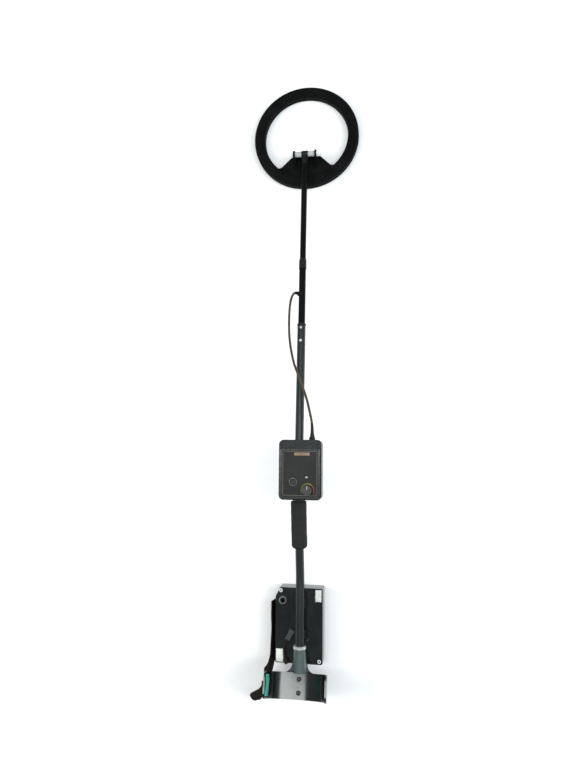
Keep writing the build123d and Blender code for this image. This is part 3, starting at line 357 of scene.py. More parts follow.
def solid(
    name, colour, rough, grain=1400, grain_depth=0.00004, grain_strength=0.35, mottle=0.18,
    rough_span=0.08, dust=0.0, dust_colour=(0.32, 0.31, 0.29), scratches=0.0, **shader,
):
    """Moulded, painted or turned surfaces: mottled colour, grain, faint dust and fine scratches."""
    g = Graph(name)
    cloud = g.noise(38, 5)
    tint = g.mix(g.span(cloud, 0.3, 0.7, 0, 1), shade(colour, 1 - mottle), shade(colour, 1 + mottle))
    rough_value = g.span(g.noise(160, 6, 0.65), 0.3, 0.7, rough - rough_span, rough + rough_span)
    if dust:
        speck = g.span(g.noise(520, 3, 0.7), 0.60, 0.78, 0, dust)
        film = g.span(g.noise(22, 4), 0.42, 0.75, 0, dust * 0.55)
        tint = g.mix(g.math("ADD", speck, film), tint, shade(dust_colour, 1))
    normal = g.bump(g.noise(grain, 2, 0.6), grain_strength, grain_depth)
    if scratches:
        line = g.span(g.noise(900, 2, 0.5, SCRATCH_STRETCH), 0.66, 0.72, 0, 1)
        normal = g.bump(line, scratches, 0.00003, normal)
        rough_value = g.math("ADD", rough_value, g.math("MULTIPLY", line, 0.12))
        tint = g.mix(g.math("MULTIPLY", line, scratches * 0.35), tint, shade(colour, 2.2))
    return g.finish(Base_Color=tint, Roughness=rough_value, Normal=normal, **shader)


WAVE_PERIOD = 0.314  # of a wave texture at scale 1


def woven(name, colour, second, rib):
    """Webbing: ribs across and along the strip's own UV map, fuzz and faded yarns, and painted shade in the
    grooves with painted highlight on the ribs.
    """
    g = Graph(name)
    uv = g.tree.nodes.new("ShaderNodeUVMap")
    uv.uv_map = "UVMap"
    g.place = uv.outputs["UV"]
    pitch = WAVE_PERIOD / rib
    values = {"Vector": g.place, "Scale": pitch, "Distortion": 1.2, "Detail": 1.0, "Detail Scale": 4.0}
    across = g.node("ShaderNodeTexWave", values, bands_direction="X").outputs["Fac"]
    values["Scale"] = pitch * 0.62
    along = g.node("ShaderNodeTexWave", values, bands_direction="Y").outputs["Fac"]
    weave = g.math("MULTIPLY", across, along)
    yarn = g.noise(2600, 3, 0.7)
    wear = g.noise(60, 5, 0.6)
    # Painted shade and highlight: the colour follows the weave's height, darker in its grooves and lighter on
    # its ribs.
    tint = g.mix(g.span(weave, 0.05, 0.8, 0, 1), shade(colour, 0.45), shade(colour, 1.25))
    tint = g.mix(g.span(wear, 0.42, 0.72, 0, 0.55), tint, shade(second, 1))
    normal = g.bump(weave, 0.9, 0.00025)
    normal = g.bump(yarn, 0.5, 0.00012, normal)
    rough_value = g.span(wear, 0.3, 0.7, 0.78, 0.95)
    return g.finish(Base_Color=tint, Roughness=rough_value, Normal=normal, Specular_IOR_Level=0.06)


def foam_material(name):
    """Closed-cell foam: fine open pores, darkened with painted shade, over soft lumps."""
    g = Graph(name)
    cells = g.node("ShaderNodeTexVoronoi", {"Vector": g.place, "Scale": 1100.0}).outputs["Distance"]
    pores = g.span(cells, 0.05, 0.55, 0, 1)
    soft = g.noise(240, 5, 0.6)
    # Painted shade: the pores are darker than the cell walls round them.
    tint = g.mix(pores, (0.0060, 0.0062, 0.0058, 1), (0.0230, 0.0238, 0.0225, 1))
    tint = g.mix(g.span(g.noise(34, 5), 0.45, 0.75, 0, 0.25), tint, (0.040, 0.0405, 0.038, 1))
    normal = g.bump(pores, 0.55, 0.0003)
    normal = g.bump(soft, 0.4, 0.0005, normal)
    return g.finish(
        Base_Color=tint, Roughness=g.span(soft, 0.3, 0.7, 0.84, 0.96), Normal=normal, Specular_IOR_Level=0.15,
    )


def winding_material(name):
    """Copper wire, as rings round the coil, with painted shade between the turns and painted highlight on
    them.
    """
    g = Graph(name)
    values = {"Vector": g.place, "Scale": 320.0, "Distortion": 0.6}
    rings = g.node("ShaderNodeTexWave", values, wave_type="RINGS", rings_direction="Z").outputs["Fac"]
    # Painted shade and highlight: the copper is darker in the grooves between turns and lighter on the turns.
    tint = g.mix(rings, (0.16, 0.045, 0.012, 1), (0.46, 0.16, 0.05, 1))
    rough_value = g.span(g.noise(200), 0.3, 0.7, 0.25, 0.45)
    return g.finish(Base_Color=tint, Metallic=0.7, Roughness=rough_value, Normal=g.bump(rings, 0.7, 0.0003))


def board_material(name):
    """A green circuit board with its tracks."""
    g = Graph(name)
    values = {"Vector": g.place, "Scale": 240.0}
    tracks = g.node("ShaderNodeTexVoronoi", values, distance="MANHATTAN").outputs["Distance"]
    lines = g.span(tracks, 0.30, 0.36, 0, 1)
    tint = g.mix(lines, (0.006, 0.075, 0.028, 1), (0.012, 0.14, 0.05, 1))
    rough_value = g.span(g.noise(300), 0.3, 0.7, 0.3, 0.5)
    return g.finish(Base_Color=tint, Roughness=rough_value, Normal=g.bump(lines, 0.4, 0.0001))


def face_plate_material(name):
    """A printed film: fine pebbled grain, pale worn spots, and painted light paler towards its front end."""
    g = Graph(name)
    low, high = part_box("control_face_plate")
    split = g.node("ShaderNodeSeparateXYZ", {"Vector": g.place}).outputs
    cloud = g.noise(55, 6, 0.6)
    tint = g.mix(g.span(cloud, 0.3, 0.7, 0, 1), (0.0055, 0.0060, 0.0052, 1), (0.0110, 0.0118, 0.0100, 1))
    # Painted light: the film is mixed towards a paler tone from its rear end to its front end.
    front_painted_light = g.span(split["Y"], low.y, high.y, 0.0, 0.45)
    tint = g.mix(front_painted_light, tint, (0.0125, 0.0125, 0.0112, 1))
    rub = g.span(g.noise(480, 4, 0.7), 0.62, 0.8, 0, 0.5)
    tint = g.mix(rub, tint, (0.055, 0.052, 0.046, 1))
    normal = g.bump(g.noise(2400, 2), 0.5, 0.00005)
    rough_value = g.span(cloud, 0.3, 0.7, 0.42, 0.6)
    return g.finish(Base_Color=tint, Roughness=rough_value, Normal=normal, Specular_IOR_Level=0.3)


BLACK = (0.0045, 0.0045, 0.0048)
LOOKS = {
    "coil_shell": solid(
        "moulded_coil", (0.0030, 0.0030, 0.0031), 0.7, dust=0.022, scratches=0.2, Specular_IOR_Level=0.08,
    ),
    "black_tube": solid(
        "satin_tube", (0.0024, 0.0024, 0.0026), 0.42, scratches=0.4, dust=0.02, Specular_IOR_Level=0.1,
    ),
    "upper_tube": solid(
        "painted_tube", (0.0075, 0.0115, 0.0112), 0.36, scratches=0.4, dust=0.03, Coat_Weight=0.04,
        Coat_Roughness=0.3,
    ),
    "moulded": solid("moulded_nylon", BLACK, 0.5, dust=0.05, Specular_IOR_Level=0.3),
    "rubber": solid(
        "black_rubber", (0.006, 0.006, 0.006), 0.78, grain=900, dust=0.08, Specular_IOR_Level=0.2,
    ),
    "steel": solid("zinc_steel", (0.52, 0.52, 0.50), 0.3, mottle=0.1, scratches=0.5, Metallic=1.0),
    "black_steel": solid("blacked_steel", (0.02, 0.02, 0.02), 0.34, mottle=0.1, scratches=0.3, Metallic=0.6),
    "spacer": solid("grey_rubber", (0.42, 0.43, 0.43), 0.7, dust=0.05, dust_colour=(0.1, 0.1, 0.1)),
    "white": solid(
        "white_nylon", (0.80, 0.80, 0.76), 0.45, mottle=0.06, dust=0.12, dust_colour=(0.35, 0.33, 0.3),
        Subsurface_Weight=0.08,
    ),
    "case": solid(
        "control_case", (0.0030, 0.0028, 0.0025), 0.26, grain_strength=0.12, scratches=0.3, dust=0.02,
        Specular_IOR_Level=0.28, Coat_Weight=0.05, Coat_Roughness=0.2,
    ),
    "gloss": solid(
        "gloss_case", (0.0046, 0.0068, 0.0065), 0.17, grain_strength=0.1, scratches=0.5, dust=0.05,
        Specular_IOR_Level=0.42, Coat_Weight=0.2, Coat_Roughness=0.1,
    ),
    # Painted highlight: the cuff's neck gets a far lighter bluish tone than the cuff's black plastic, for the
    # light that it catches.
    "neck": solid(
        "neck_painted_highlight", (0.055, 0.076, 0.074), 0.34, grain_strength=0.15, scratches=0.4, dust=0.05,
        Specular_IOR_Level=0.6, Coat_Weight=0.4, Coat_Roughness=0.25,
    ),
    "cuff": solid(
        "gloss_cuff", (0.0026, 0.0032, 0.0032), 0.2, rough_span=0.03, grain_strength=0.03, scratches=0.12,
        dust=0.02, Specular_IOR_Level=0.6, Coat_Weight=0.5, Coat_Roughness=0.14,
    ),
    "knob": solid("knob_plastic", (0.007, 0.007, 0.007), 0.34, grain=1800, dust=0.06, Specular_IOR_Level=0.4),
    "key": solid("silicone_key", (0.008, 0.008, 0.009), 0.5, dust=0.08, Specular_IOR_Level=0.35),
    "surround": solid("gloss_ring", (0.006, 0.006, 0.006), 0.2, Specular_IOR_Level=0.5),
    "lens": solid("clear_lens", (0.50, 0.53, 0.50), 0.14, mottle=0.05, Transmission_Weight=0.35, IOR=1.5),
    "aluminium": solid(
        "turned_aluminium", (0.30, 0.31, 0.31), 0.32, mottle=0.12, scratches=0.4, Metallic=0.9,
    ),
    "pale_ring": solid("pale_metal", (0.62, 0.64, 0.62), 0.34, mottle=0.1, scratches=0.4, Metallic=0.6),
    "cell": solid("cell_sleeve", (0.22, 0.24, 0.27), 0.3, mottle=0.1, Metallic=0.4),
    "grey_plastic": solid("grey_fitting", (0.042, 0.047, 0.046), 0.5, dust=0.08, Specular_IOR_Level=0.3),
    "cable": solid(
        "cable_sheath", (0.060, 0.040, 0.027), 0.52, grain=1600, mottle=0.3, dust=0.22,
        dust_colour=(0.12, 0.115, 0.11), Specular_IOR_Level=0.3,
    ),
    "lead": solid("lead_sheath", (0.006, 0.006, 0.0065), 0.45, grain=1600, dust=0.08, Specular_IOR_Level=0.3),
    "pads": solid(
        "loop_backing", (0.84, 0.86, 0.82), 0.9, grain=1500, grain_depth=0.0004, grain_strength=0.6,
        mottle=0.08, Sheen_Weight=0.2,
    ),
    "line": solid("printed_line", (0.13, 0.125, 0.11), 0.5, mottle=0.35),
    "label": solid(
        "blank_label", (0.19, 0.14, 0.085), 0.55, mottle=0.35, dust=0.3, dust_colour=(0.035, 0.033, 0.028),
    ),
    "foam": foam_material("closed_cell_foam"),
    "winding": winding_material("copper_winding"),
    "board": board_material("circuit_board"),
    "face": face_plate_material("face_film"),
    "strap": woven("brown_webbing", (0.0150, 0.0088, 0.0060), (0.0190, 0.0135, 0.0100), 0.0013),
    "teal": woven("teal_webbing", (0.048, 0.45, 0.31), (0.088, 0.57, 0.43), 0.0011),
    "stitch": solid("stitch_thread", (0.035, 0.023, 0.018), 0.8, grain=3000, Specular_IOR_Level=0.2),
    "teal_stitch": solid("teal_thread", (0.14, 0.38, 0.30), 0.8, grain=3000),
}
LOOK_NODES = {
    "coil_shell": ("coil_top_shell", "coil_bottom_shell"),
    "winding": ("search_winding",),
    "black_tube": ("middle_tube", "lower_rod"),
    "upper_tube": ("upper_tube",),
    "moulded": (
        "tube_end_plug", "tube_mouth_bush", "rod_collet", "lock_nut", "rod_tongue", "coil_cable_gland",
        "control_box_saddle", "tube_clamps", "rear_box_saddles", "battery_holder", "sounder",
        "headphone_socket", "box_cable_gland",
    ),
    "rubber": ("cable_grommet", "control_box_gasket", "rear_box_gasket", "hand_grip"),
    "steel": (
        "tube_screw", "snap_button", "snap_button_spring", "tube_clamp_screws", "control_box_screws",
        "gain_pot_shaft",
    ),
    "black_steel": ("cuff_screws",),
    "spacer": ("pivot_spacers",),
    "white": ("pivot_bolt", "pivot_nut", "rear_box_screws"),
    "case": ("control_box_base", "control_box_lid"),
    "face": ("control_face_plate",),
    "board": ("control_board", "main_board"),
    "aluminium": ("gain_potentiometer", "headphone_socket_nut"),
    "knob": ("gain_knob",),
    "key": ("power_key",),
    "surround": ("key_surround",),
    "lens": ("status_light",),
    "gloss": ("rear_box_base", "rear_box_lid"),
    "cell": ("battery_cells",),
    "cuff": ("cuff_shell",),
    "neck": ("cuff_bracket",),
    "pale_ring": ("cuff_ring",),
    "grey_plastic": ("lead_socket", "lead_plug"),
    "lead": ("power_lead", "lead_gland"),
    "cable": ("coil_cable",),
    "pads": ("fastening_pads",),
    "strap": ("arm_strap", "strap_tail"),
    "teal": ("strap_lining",),
}


def paint(piece, look):
    """Gives a piece one of the looks as its only material."""
    piece.data.materials.clear()
    piece.data.materials.append(LOOKS[look])
    return piece


for look, names in LOOK_NODES.items():
    for name in names:
        paint(nodes[name], look)
paint(cable, "cable")
paint(lead, "lead")
paint(exit_boot, "rubber")
paint(gland_boot, "moulded")


# ---------------------------------------------------------------- foam hand grip
def between(low, high, steps):
    """Evenly spaced values from low to high."""
    return [low + (high - low) * k / steps for k in range(steps + 1)]


TUBE_RISE, TUBE_RUN = 0.035, 0.177  # of the upper tube, where the grip is
TUBE_Z = 0.057  # at the tube's rear bend
PAST_BEND = 0.062  # from that bend to the grip
GRIP_REAR_Y = 0.157
GRIP_SLOPE = math.atan2(TUBE_RISE, TUBE_RUN)
GRIP_LENGTH = 0.093 / math.cos(GRIP_SLOPE)
GRIP_R = 0.0157
GRIP_BORE = 0.0088
GRIP_LIP = 0.0004
REAR_FACE_R, REAR_ROUND, REAR_RISE = 0.0098, 0.006, 0.0059
FRONT_FACE_R, FRONT_ROUND = 0.0105, 0.0022


def grip_profile():
    """The sleeve's section: a long round at its rear, a short one in front, and the bore."""
    profile = [(GRIP_LIP, GRIP_BORE), (0.0, REAR_FACE_R)]
    for a in between(0.15, math.pi / 2, 7):
        profile.append((REAR_ROUND - REAR_ROUND * math.cos(a), REAR_FACE_R + REAR_RISE * math.sin(a)))
    profile += [(along, GRIP_R) for along in between(0.0085, GRIP_LENGTH - 0.0035, 46)]
    front = GRIP_LENGTH - FRONT_ROUND
    for a in between(0.1, math.pi / 2, 4):
        profile.append((front + FRONT_ROUND * math.sin(a), GRIP_R - FRONT_ROUND * (1 - math.cos(a))))
    profile += [(GRIP_LENGTH, FRONT_FACE_R), (GRIP_LENGTH - GRIP_LIP, GRIP_BORE)]
    return profile + [(along, GRIP_BORE) for along in between(GRIP_LENGTH - 0.01, 0.01, 8)]


grip_axis = Vector((0, math.cos(GRIP_SLOPE), math.sin(GRIP_SLOPE)))
grip_rear = Vector((0, GRIP_REAR_Y, TUBE_Z + PAST_BEND * math.tan(GRIP_SLOPE)))
grip = lathe("foam_grip", grip_profile(), grip_rear, grip_axis, turns=72, bumps=0.00035)
paint(grip, "foam")
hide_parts("hand_grip")
attach(grip)


# ---------------------------------------------------------------- webbing straps
STITCH_SPACING = 0.0026
STITCH_GAP = 0.0010
STITCH_RADIUS = 0.00032
STITCH_SIDES = 6
STITCH_RINGS = ((-1.0, 0.4), (-0.5, 1.0), (0.5, 1.0), (1.0, 0.4))  # share of half its length, of its radius


def stitches(name, points, normals, look):
    """A row of short stitches standing on a surface, along points."""
    places = []
    walked, next_stitch = 0.0, 0.0
    for a, b, normal in zip(points, points[1:], normals):
        step = (b - a).length
        if step == 0:
            continue
        while next_stitch <= walked + step:
            places.append((a.lerp(b, (next_stitch - walked) / step), (b - a) / step, normal))
            next_stitch += STITCH_SPACING
        walked += step
    verts, faces = [], []
    half = (STITCH_SPACING - STITCH_GAP) / 2
    for place, along, normal in places:
        side = along.cross(normal).normalized()
        base = len(verts)
        for shift, size in STITCH_RINGS:
            for k in range(STITCH_SIDES):
                angle = 2 * math.pi * k / STITCH_SIDES
                out = side * math.cos(angle) + normal * math.sin(angle)
                verts.append(place + along * (half * shift) + out * STITCH_RADIUS * size)
        ring_faces = grid_faces(len(STITCH_RINGS), STITCH_SIDES, False, True)
        faces += [tuple(base + k for k in face) for face in ring_faces]
        last = base + (len(STITCH_RINGS) - 1) * STITCH_SIDES
        faces.append(tuple(base + k for k in range(STITCH_SIDES))[::-1])
        faces.append(tuple(last + k for k in range(STITCH_SIDES)))
    return paint(add_mesh(name, verts, faces), look)


STRAP_HALF = 0.0178
STRAP_THICKNESS = 0.0014
LINING_THICKNESS = 0.0016
HEM = 0.86  # how far out the stitches run, of the half width


def band(name, stations, thickness, look, ripple=0.0, stitch_look="stitch"):
    """A strap, its rows of stitches on both faces, and its length.

    Each station is a centre, the direction across the strap there and its half width.
    """
    centres = smooth_points([Vector(station[0]) for station in stations])
    acrosses = smooth_points([Vector(station[1]).normalized() * station[2] for station in stations])
    normals = []
    for i in range(len(centres)):
        along = centres[min(i + 1, len(centres) - 1)] - centres[max(i - 1, 0)]
        normals.append(acrosses[i].cross(along).normalized())
    piece, length = strip(name, centres, acrosses, normals, thickness, ripple)
    paint(piece, look)
    attach(piece)
    rows = []
    for side in (-1, 1):
        for face in (-1, 1):
            line, lift = [], []
            for centre, across, normal in zip(centres[2:-2], acrosses[2:-2], normals[2:-2]):
                line.append(centre + across * HEM * side + normal * face * thickness * 0.55)
                lift.append(normal * face)
            sign = ("l" if side < 0 else "r") + ("i" if face < 0 else "o")
            rows.append(attach(stitches(f"{name}_stitch_{sign}", line, lift, stitch_look)))
    return piece, rows, length


strap, strap_rows, strap_length = band(
    "arm_strap_web",
    [
        ((-0.0588, 0.0435, 0.0190), (-0.17, 0.0, 0.985), STRAP_HALF),
        ((-0.0592, 0.0200, 0.0190), (-0.17, 0.0, 0.985), STRAP_HALF),
        ((-0.0585, -0.0100, 0.0190), (-0.16, 0.0, 0.987), STRAP_HALF),
        ((-0.0592, -0.0400, 0.0192), (-0.17, -0.05, 0.985), STRAP_HALF),
        ((-0.0600, -0.0620, 0.0225), (-0.14, 0.25, 0.96), STRAP_HALF),
        ((-0.0612, -0.0780, 0.0340), (-0.08, 0.72, 0.69), STRAP_HALF),
        ((-0.0620, -0.0850, 0.0530), (0.0, 0.97, 0.22), STRAP_HALF),
        ((-0.0620, -0.0860, 0.0750), (0.0, 1.0, -0.02), STRAP_HALF),
        ((-0.0620, -0.0830, 0.1030), (0.0, 0.995, -0.10), STRAP_HALF * 0.96),
    ],
    STRAP_THICKNESS, "strap", ripple=0.0009,
)
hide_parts("arm_strap")

TAIL_DOWN = Vector((-27, 0, -98)).normalized()
TAIL_OUT = Vector((-98, 0, 27)).normalized()
TAIL_START = Vector((-0.064, -0.090, 0.104))


def tail_point(along, back, lift):
    """A point from the tail's start: down it, towards the rear, and out from the cuff."""
    return TAIL_START + TAIL_DOWN * along + Vector((0, -back, 0)) + TAIL_OUT * lift


tail, tail_rows, tail_length = band(
    "strap_tail_web",
    [
        (tail_point(0.0010, 0.0100, 0.0012), (0.0, -1.0, 0.0), 0.0110),
        (tail_point(0.0160, 0.0180, 0.0045), (-0.55, -0.80, 0.22), 0.0125),
        (tail_point(0.0360, 0.0290, 0.0070), (-0.90, -0.42, 0.12), 0.0140),
        (tail_point(0.0560, 0.0420, 0.0080), (-0.95, -0.28, 0.05), 0.0145),
        (tail_point(0.0760, 0.0550, 0.0060), (-0.95, -0.28, 0.00), 0.0135),
        (tail_point(0.0880, 0.0640, 0.0050), (-0.95, -0.28, 0.00), 0.0105),
        (tail_point(0.0940, 0.0690, 0.0040), (-0.95, -0.28, 0.00), 0.0068),
        (tail_point(0.0965, 0.0705, 0.0036), (-0.95, -0.28, 0.00), 0.0025),
    ],
    STRAP_THICKNESS, "strap", ripple=0.0012,
)
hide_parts("strap_tail")

CUFF_LEAN = math.radians(18)
cuff_forward = Vector((0, math.cos(CUFF_LEAN), -math.sin(CUFF_LEAN)))
cuff_up = Vector((0, math.sin(CUFF_LEAN), math.cos(CUFF_LEAN)))
cuff_origin = Vector((0, -0.109, 0.064))


def cuff_point(x, along, height):
    """A point from the middle of the cuff's floor: across, forward and up, as the cuff leans."""
    return cuff_origin + Vector((x, 0, 0)) + cuff_forward * along + cuff_up * height


lining, lining_rows, lining_length = band(
    "strap_lining_web",
    [
        (cuff_point(-0.0548, -0.0188, 0.0490), cuff_up, 0.0118),
        (cuff_point(-0.0542, -0.0080, 0.0492), cuff_up, 0.0120),
        (cuff_point(-0.0540, 0.0060, 0.0488), cuff_up, 0.0120),
        (cuff_point(-0.0547, 0.0188, 0.0490), cuff_up, 0.0118),
    ],
    LINING_THICKNESS, "teal", ripple=0.0006, stitch_look="teal_stitch",
)
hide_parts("strap_lining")

# ---------------------------------------------------------------- flare from the neck into the cuff
FLARE_BACK, FLARE_FRONT = 0.0235, 0.042
FLARE_ROWS, FLARE_COLUMNS = 25, 41
FLARE_SPREAD = 0.0165
FLARE_LIFT, FLARE_THICKNESS = 0.0034, 0.0030
FLARE_DROOP, FLARE_THINNING = 0.0008, 0.0016  # at its two side edges
NECK_HALF = 0.0150
CUFF_FLOOR_R = 0.070
CUFF_FLAT_HALF = 0.0048


def floor_rise(x):
    """Height of the cuff's inner floor over its middle, at a distance across it."""
    over = max(0.0, abs(x) - CUFF_FLAT_HALF)
    return CUFF_FLOOR_R - math.sqrt(CUFF_FLOOR_R**2 - over**2)


def neck_flare():
    """A thin closed skin that widens from the neck and melts into the cuff's floor."""
    top, under = [], []
    for i in range(FLARE_ROWS):
        share = i / (FLARE_ROWS - 1)
        half = NECK_HALF + FLARE_SPREAD * (1 - math.sqrt(max(0.0, 1 - (1 - share) ** 2)))
        along = FLARE_BACK + (FLARE_FRONT - FLARE_BACK) * share
        for j in range(FLARE_COLUMNS):
            x = half * (2 * j / (FLARE_COLUMNS - 1) - 1)
            edge = (abs(x) / half) ** 12
            height = floor_rise(x) * (1 - share) + FLARE_LIFT - FLARE_DROOP * edge
            top.append(cuff_point(x, along, height))
            under.append(cuff_point(x, along, height - FLARE_THICKNESS + FLARE_THINNING * edge))
    faces = grid_faces(FLARE_ROWS, FLARE_COLUMNS)
    count = len(top)
    faces += [tuple(count + k for k in face[::-1]) for face in faces]
    rim = list(range(FLARE_COLUMNS))
    rim += [i * FLARE_COLUMNS + FLARE_COLUMNS - 1 for i in range(1, FLARE_ROWS)]
    rim += [(FLARE_ROWS - 1) * FLARE_COLUMNS + j for j in range(FLARE_COLUMNS - 2, -1, -1)]
    rim += [i * FLARE_COLUMNS for i in range(FLARE_ROWS - 2, 0, -1)]
    faces += [(a, b, count + b, count + a) for a, b in zip(rim, rim[1:] + rim[:1])]
    return attach(paint(add_mesh("cuff_neck_flare", top + under, faces), "cuff"))


neck_flare()


# ---------------------------------------------------------------- hook-and-loop pads
PAD_ROWS, PAD_COLUMNS = 49, 29
PAD_THICKNESS = 0.0006
TEAR_COUNT = 400
LOOP_COUNT = 900
LOOP_THIN = 0.00009
LOOP_STEPS = 6


def pad_backing(name, x, y, width, length, seed, draw):
    """A pad's backing on the rear box's lid, torn along its edges."""
    base_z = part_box("rear_box_lid")[1].z
    tear = [draw.uniform(-1, 1) for _ in range(TEAR_COUNT)]
    points = []
    for i in range(PAD_ROWS):
        for j in range(PAD_COLUMNS):
            u, v = 2 * j / (PAD_COLUMNS - 1) - 1, 2 * i / (PAD_ROWS - 1) - 1
            edge = max(abs(u), abs(v))
            wave = 0.0009 * noise.noise(Vector((u * 3 + seed, v * 5, 0.3)))
            ragged = wave + 0.0006 * tear[(i * 7 + j * 3) % TEAR_COUNT] * (edge > 0.97)
            px = x + u * (width / 2 - 0.0006) + (ragged if abs(u) > 0.9 else 0)
            py = y + v * (length / 2 - 0.0006) + (ragged if abs(v) > 0.9 else 0)
            lift = 0.0011 + 0.0005 * noise.noise(Vector((u * 4, v * 7, seed))) - 0.0006 * (edge > 0.93)
            points.append((px, py, base_z + max(0.0004, lift)))
    piece = add_mesh(name, points, grid_faces(PAD_ROWS, PAD_COLUMNS))
    thicken = piece.modifiers.new("thickness", "SOLIDIFY")
    thicken.thickness = PAD_THICKNESS
    thicken.offset = -1
    return attach(paint(apply_modifiers(piece), "pads"))


def pad_loops(name, x, y, width, length, draw):
    """The pad's small loops, each an arch of three-sided thread."""
    base_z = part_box("rear_box_lid")[1].z
    verts, faces = [], []
    for _ in range(LOOP_COUNT):
        u, v = draw.uniform(-0.97, 0.97), draw.uniform(-0.98, 0.98)
        centre = Vector((x + u * width / 2, y + v * length / 2, base_z + 0.0012))
        heading = draw.uniform(0, math.pi)
        along = Vector((math.cos(heading), math.sin(heading), 0))
        side = Vector((-along.y, along.x, 0))
        size = draw.uniform(0.0004, 0.0008)
        first = len(verts)
        for k in range(LOOP_STEPS + 1):
            angle = math.pi * k / LOOP_STEPS
            rise = Vector((0, 0, size * 1.1 * math.sin(angle) - 0.0003))
            place = centre + along * size * math.cos(angle) + rise
            for dx, dz in ((-LOOP_THIN, -LOOP_THIN), (LOOP_THIN, -LOOP_THIN), (0, LOOP_THIN)):
                verts.append(place + side * dx + Vector((0, 0, dz)))
        for face in grid_faces(LOOP_STEPS + 1, 3, False, True):
            faces.append(tuple(first + k for k in face))
        last = first + 3 * LOOP_STEPS
        faces.append((first, first + 1, first + 2))
        faces.append((last + 2, last + 1, last))
    return attach(paint(add_mesh(name, verts, faces), "pads"))


def pad_sheet(name, x, y, width, length, seed):
    """A pad of loops on the rear box's lid."""
    draw = random.Random(seed)
    piece = pad_backing(name, x, y, width, length, seed, draw)
    loops = pad_loops(name + "_loops", x, y, width, length, draw)
    return piece


front_pad = pad_sheet("loop_pad_front", 0.035, 0.058, 0.013, 0.024, 3)
rear_pad = pad_sheet("loop_pad_rear", -0.0435, -0.061, 0.016, 0.026, 5)
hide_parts("fastening_pads")
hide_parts("fastening_pads")


# ---------------------------------------------------------------- printed and small moulded details
def flat_band(name, line, half_width, height, thickness, look, body, closed=False):
    """A thin raised band laid on a level face, along line."""
    verts = []
    count = len(line)
    for i, (x, y) in enumerate(line):
        before = line[i - 1] if (i or closed) else line[i]
        after = line[(i + 1) % count] if (i + 1 < count or closed) else line[i]
        along = Vector((after[0] - before[0], after[1] - before[1], 0)).normalized()
        side = Vector((-along.y, along.x, 0)) * half_width
        centre = Vector((x, y, height))
        for shift, lift in ((1, 0), (0.8, thickness), (-0.8, thickness), (-1, 0)):
            verts.append(centre + side * shift + Vector((0, 0, lift)))
    faces = grid_faces(count, 4, closed, True)
    if not closed:
        faces += [(3, 2, 1, 0), tuple((count - 1) * 4 + k for k in range(4))]
    return attach(paint(add_mesh(name, verts, faces, smooth=False), look), body)


def rounded_frame(low_x, low_y, high_x, high_y, radius):
    """A rectangle with rounded corners, as a closed line."""
    line = []
    for cx, cy, start in (
        (high_x - radius, high_y - radius, 0), (low_x + radius, high_y - radius, 90),
        (low_x + radius, low_y + radius, 180), (high_x - radius, low_y + radius, 270),
    ):
        for k in range(7):
            angle = math.radians(start + 15 * k)
            line.append((cx + radius * math.cos(angle), cy + radius * math.sin(angle)))
    return line


face_low, face_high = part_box("control_face_plate")
face_top = face_high.z
BORDER_INSET = 0.0022
PRINT_THICKNESS = 0.00012
border = rounded_frame(
    face_low.x + BORDER_INSET, face_low.y + BORDER_INSET, face_high.x - BORDER_INSET,
    face_high.y - BORDER_INSET, 0.0018,
)
flat_band(
    "face_border", border, 0.00035, face_top, PRINT_THICKNESS, "line", "shaft_frame",
    closed=True,
)

label_y = face_high.y - 0.0075
label_line = [(-0.002, label_y), (0.028, label_y)]
flat_band("face_label_blank", label_line, 0.0030, face_top, 0.0001, "label", "shaft_frame")

knob_low, knob_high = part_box("gain_knob")
knob_x, knob_y = (knob_low.x + knob_high.x) / 2, (knob_low.y + knob_high.y) / 2


def scale_material(name):
    """The dial's printed scale, from yellow-green round to red."""
    g = Graph(name)
    split = g.node("ShaderNodeSeparateXYZ", {"Vector": g.place}).outputs
    turn = g.span(split["X"], knob_x - 0.004, knob_x + 0.0125, 0, 1)
    ramp = g.node("ShaderNodeValToRGB", {"Fac": turn})
    ramp.color_ramp.elements[0].color = (0.10, 0.15, 0.012, 1)
    ramp.color_ramp.elements[1].color = (0.28, 0.016, 0.012, 1)
    middle = ramp.color_ramp.elements.new(0.55)
    middle.color = (0.26, 0.20, 0.02, 1)
    wear = g.span(g.noise(900, 4, 0.7), 0.5, 0.8, 0, 0.5)
    tint = g.mix(wear, ramp.outputs["Color"], (0.05, 0.05, 0.045, 1))
    rough_value = g.span(g.noise(300), 0.3, 0.7, 0.45, 0.6)
    return g.finish(Base_Color=tint, Roughness=rough_value, Normal=g.bump(g.noise(2000, 2), 0.3, 0.00004))


LOOKS["scale"] = scale_material("dial_scale")
DIAL_R = 0.0122
TICK_NEAR, TICK_FAR, LONG_TICK_FAR = 0.0134, 0.0146, 0.0152
TICK_COUNT = 11
DIAL_START, DIAL_END = 200, -20  # degrees, anticlockwise from +X


def dial_point(radius, angle):
    """A point round the knob, at an angle in radians."""
    return knob_x + radius * math.cos(angle), knob_y + radius * math.sin(angle)


arc = [dial_point(DIAL_R, math.radians(a)) for a in between(DIAL_START, DIAL_END, 44)]
flat_band("dial_scale_arc", arc, 0.0008, face_top, PRINT_THICKNESS, "scale", "shaft_frame")
for k in range(TICK_COUNT):
    angle = math.radians(DIAL_START - 22 * k)
    tick = [dial_point(radius, angle) for radius in (TICK_NEAR, TICK_FAR if k % 5 else LONG_TICK_FAR)]
    flat_band(
        f"dial_tick_{k}", tick, 0.00022, face_top, PRINT_THICKNESS, "line", "shaft_frame",
    )
LOOKS["pointer"] = solid(
    "pointer_paint", (0.62, 0.62, 0.58), 0.5, mottle=0.1, dust=0.15, dust_colour=(0.1, 0.1, 0.1),
)
pointer_line = [(knob_x, knob_y + 0.0016), (knob_x, knob_y + 0.0078)]
flat_band(
    "knob_pointer", pointer_line, 0.00055, knob_high.z - 0.0008, 0.0005, "pointer", "gain_knob_body",
)


RECESS_HALF = 0.00075
RECESS_DEPTH = 0.00012


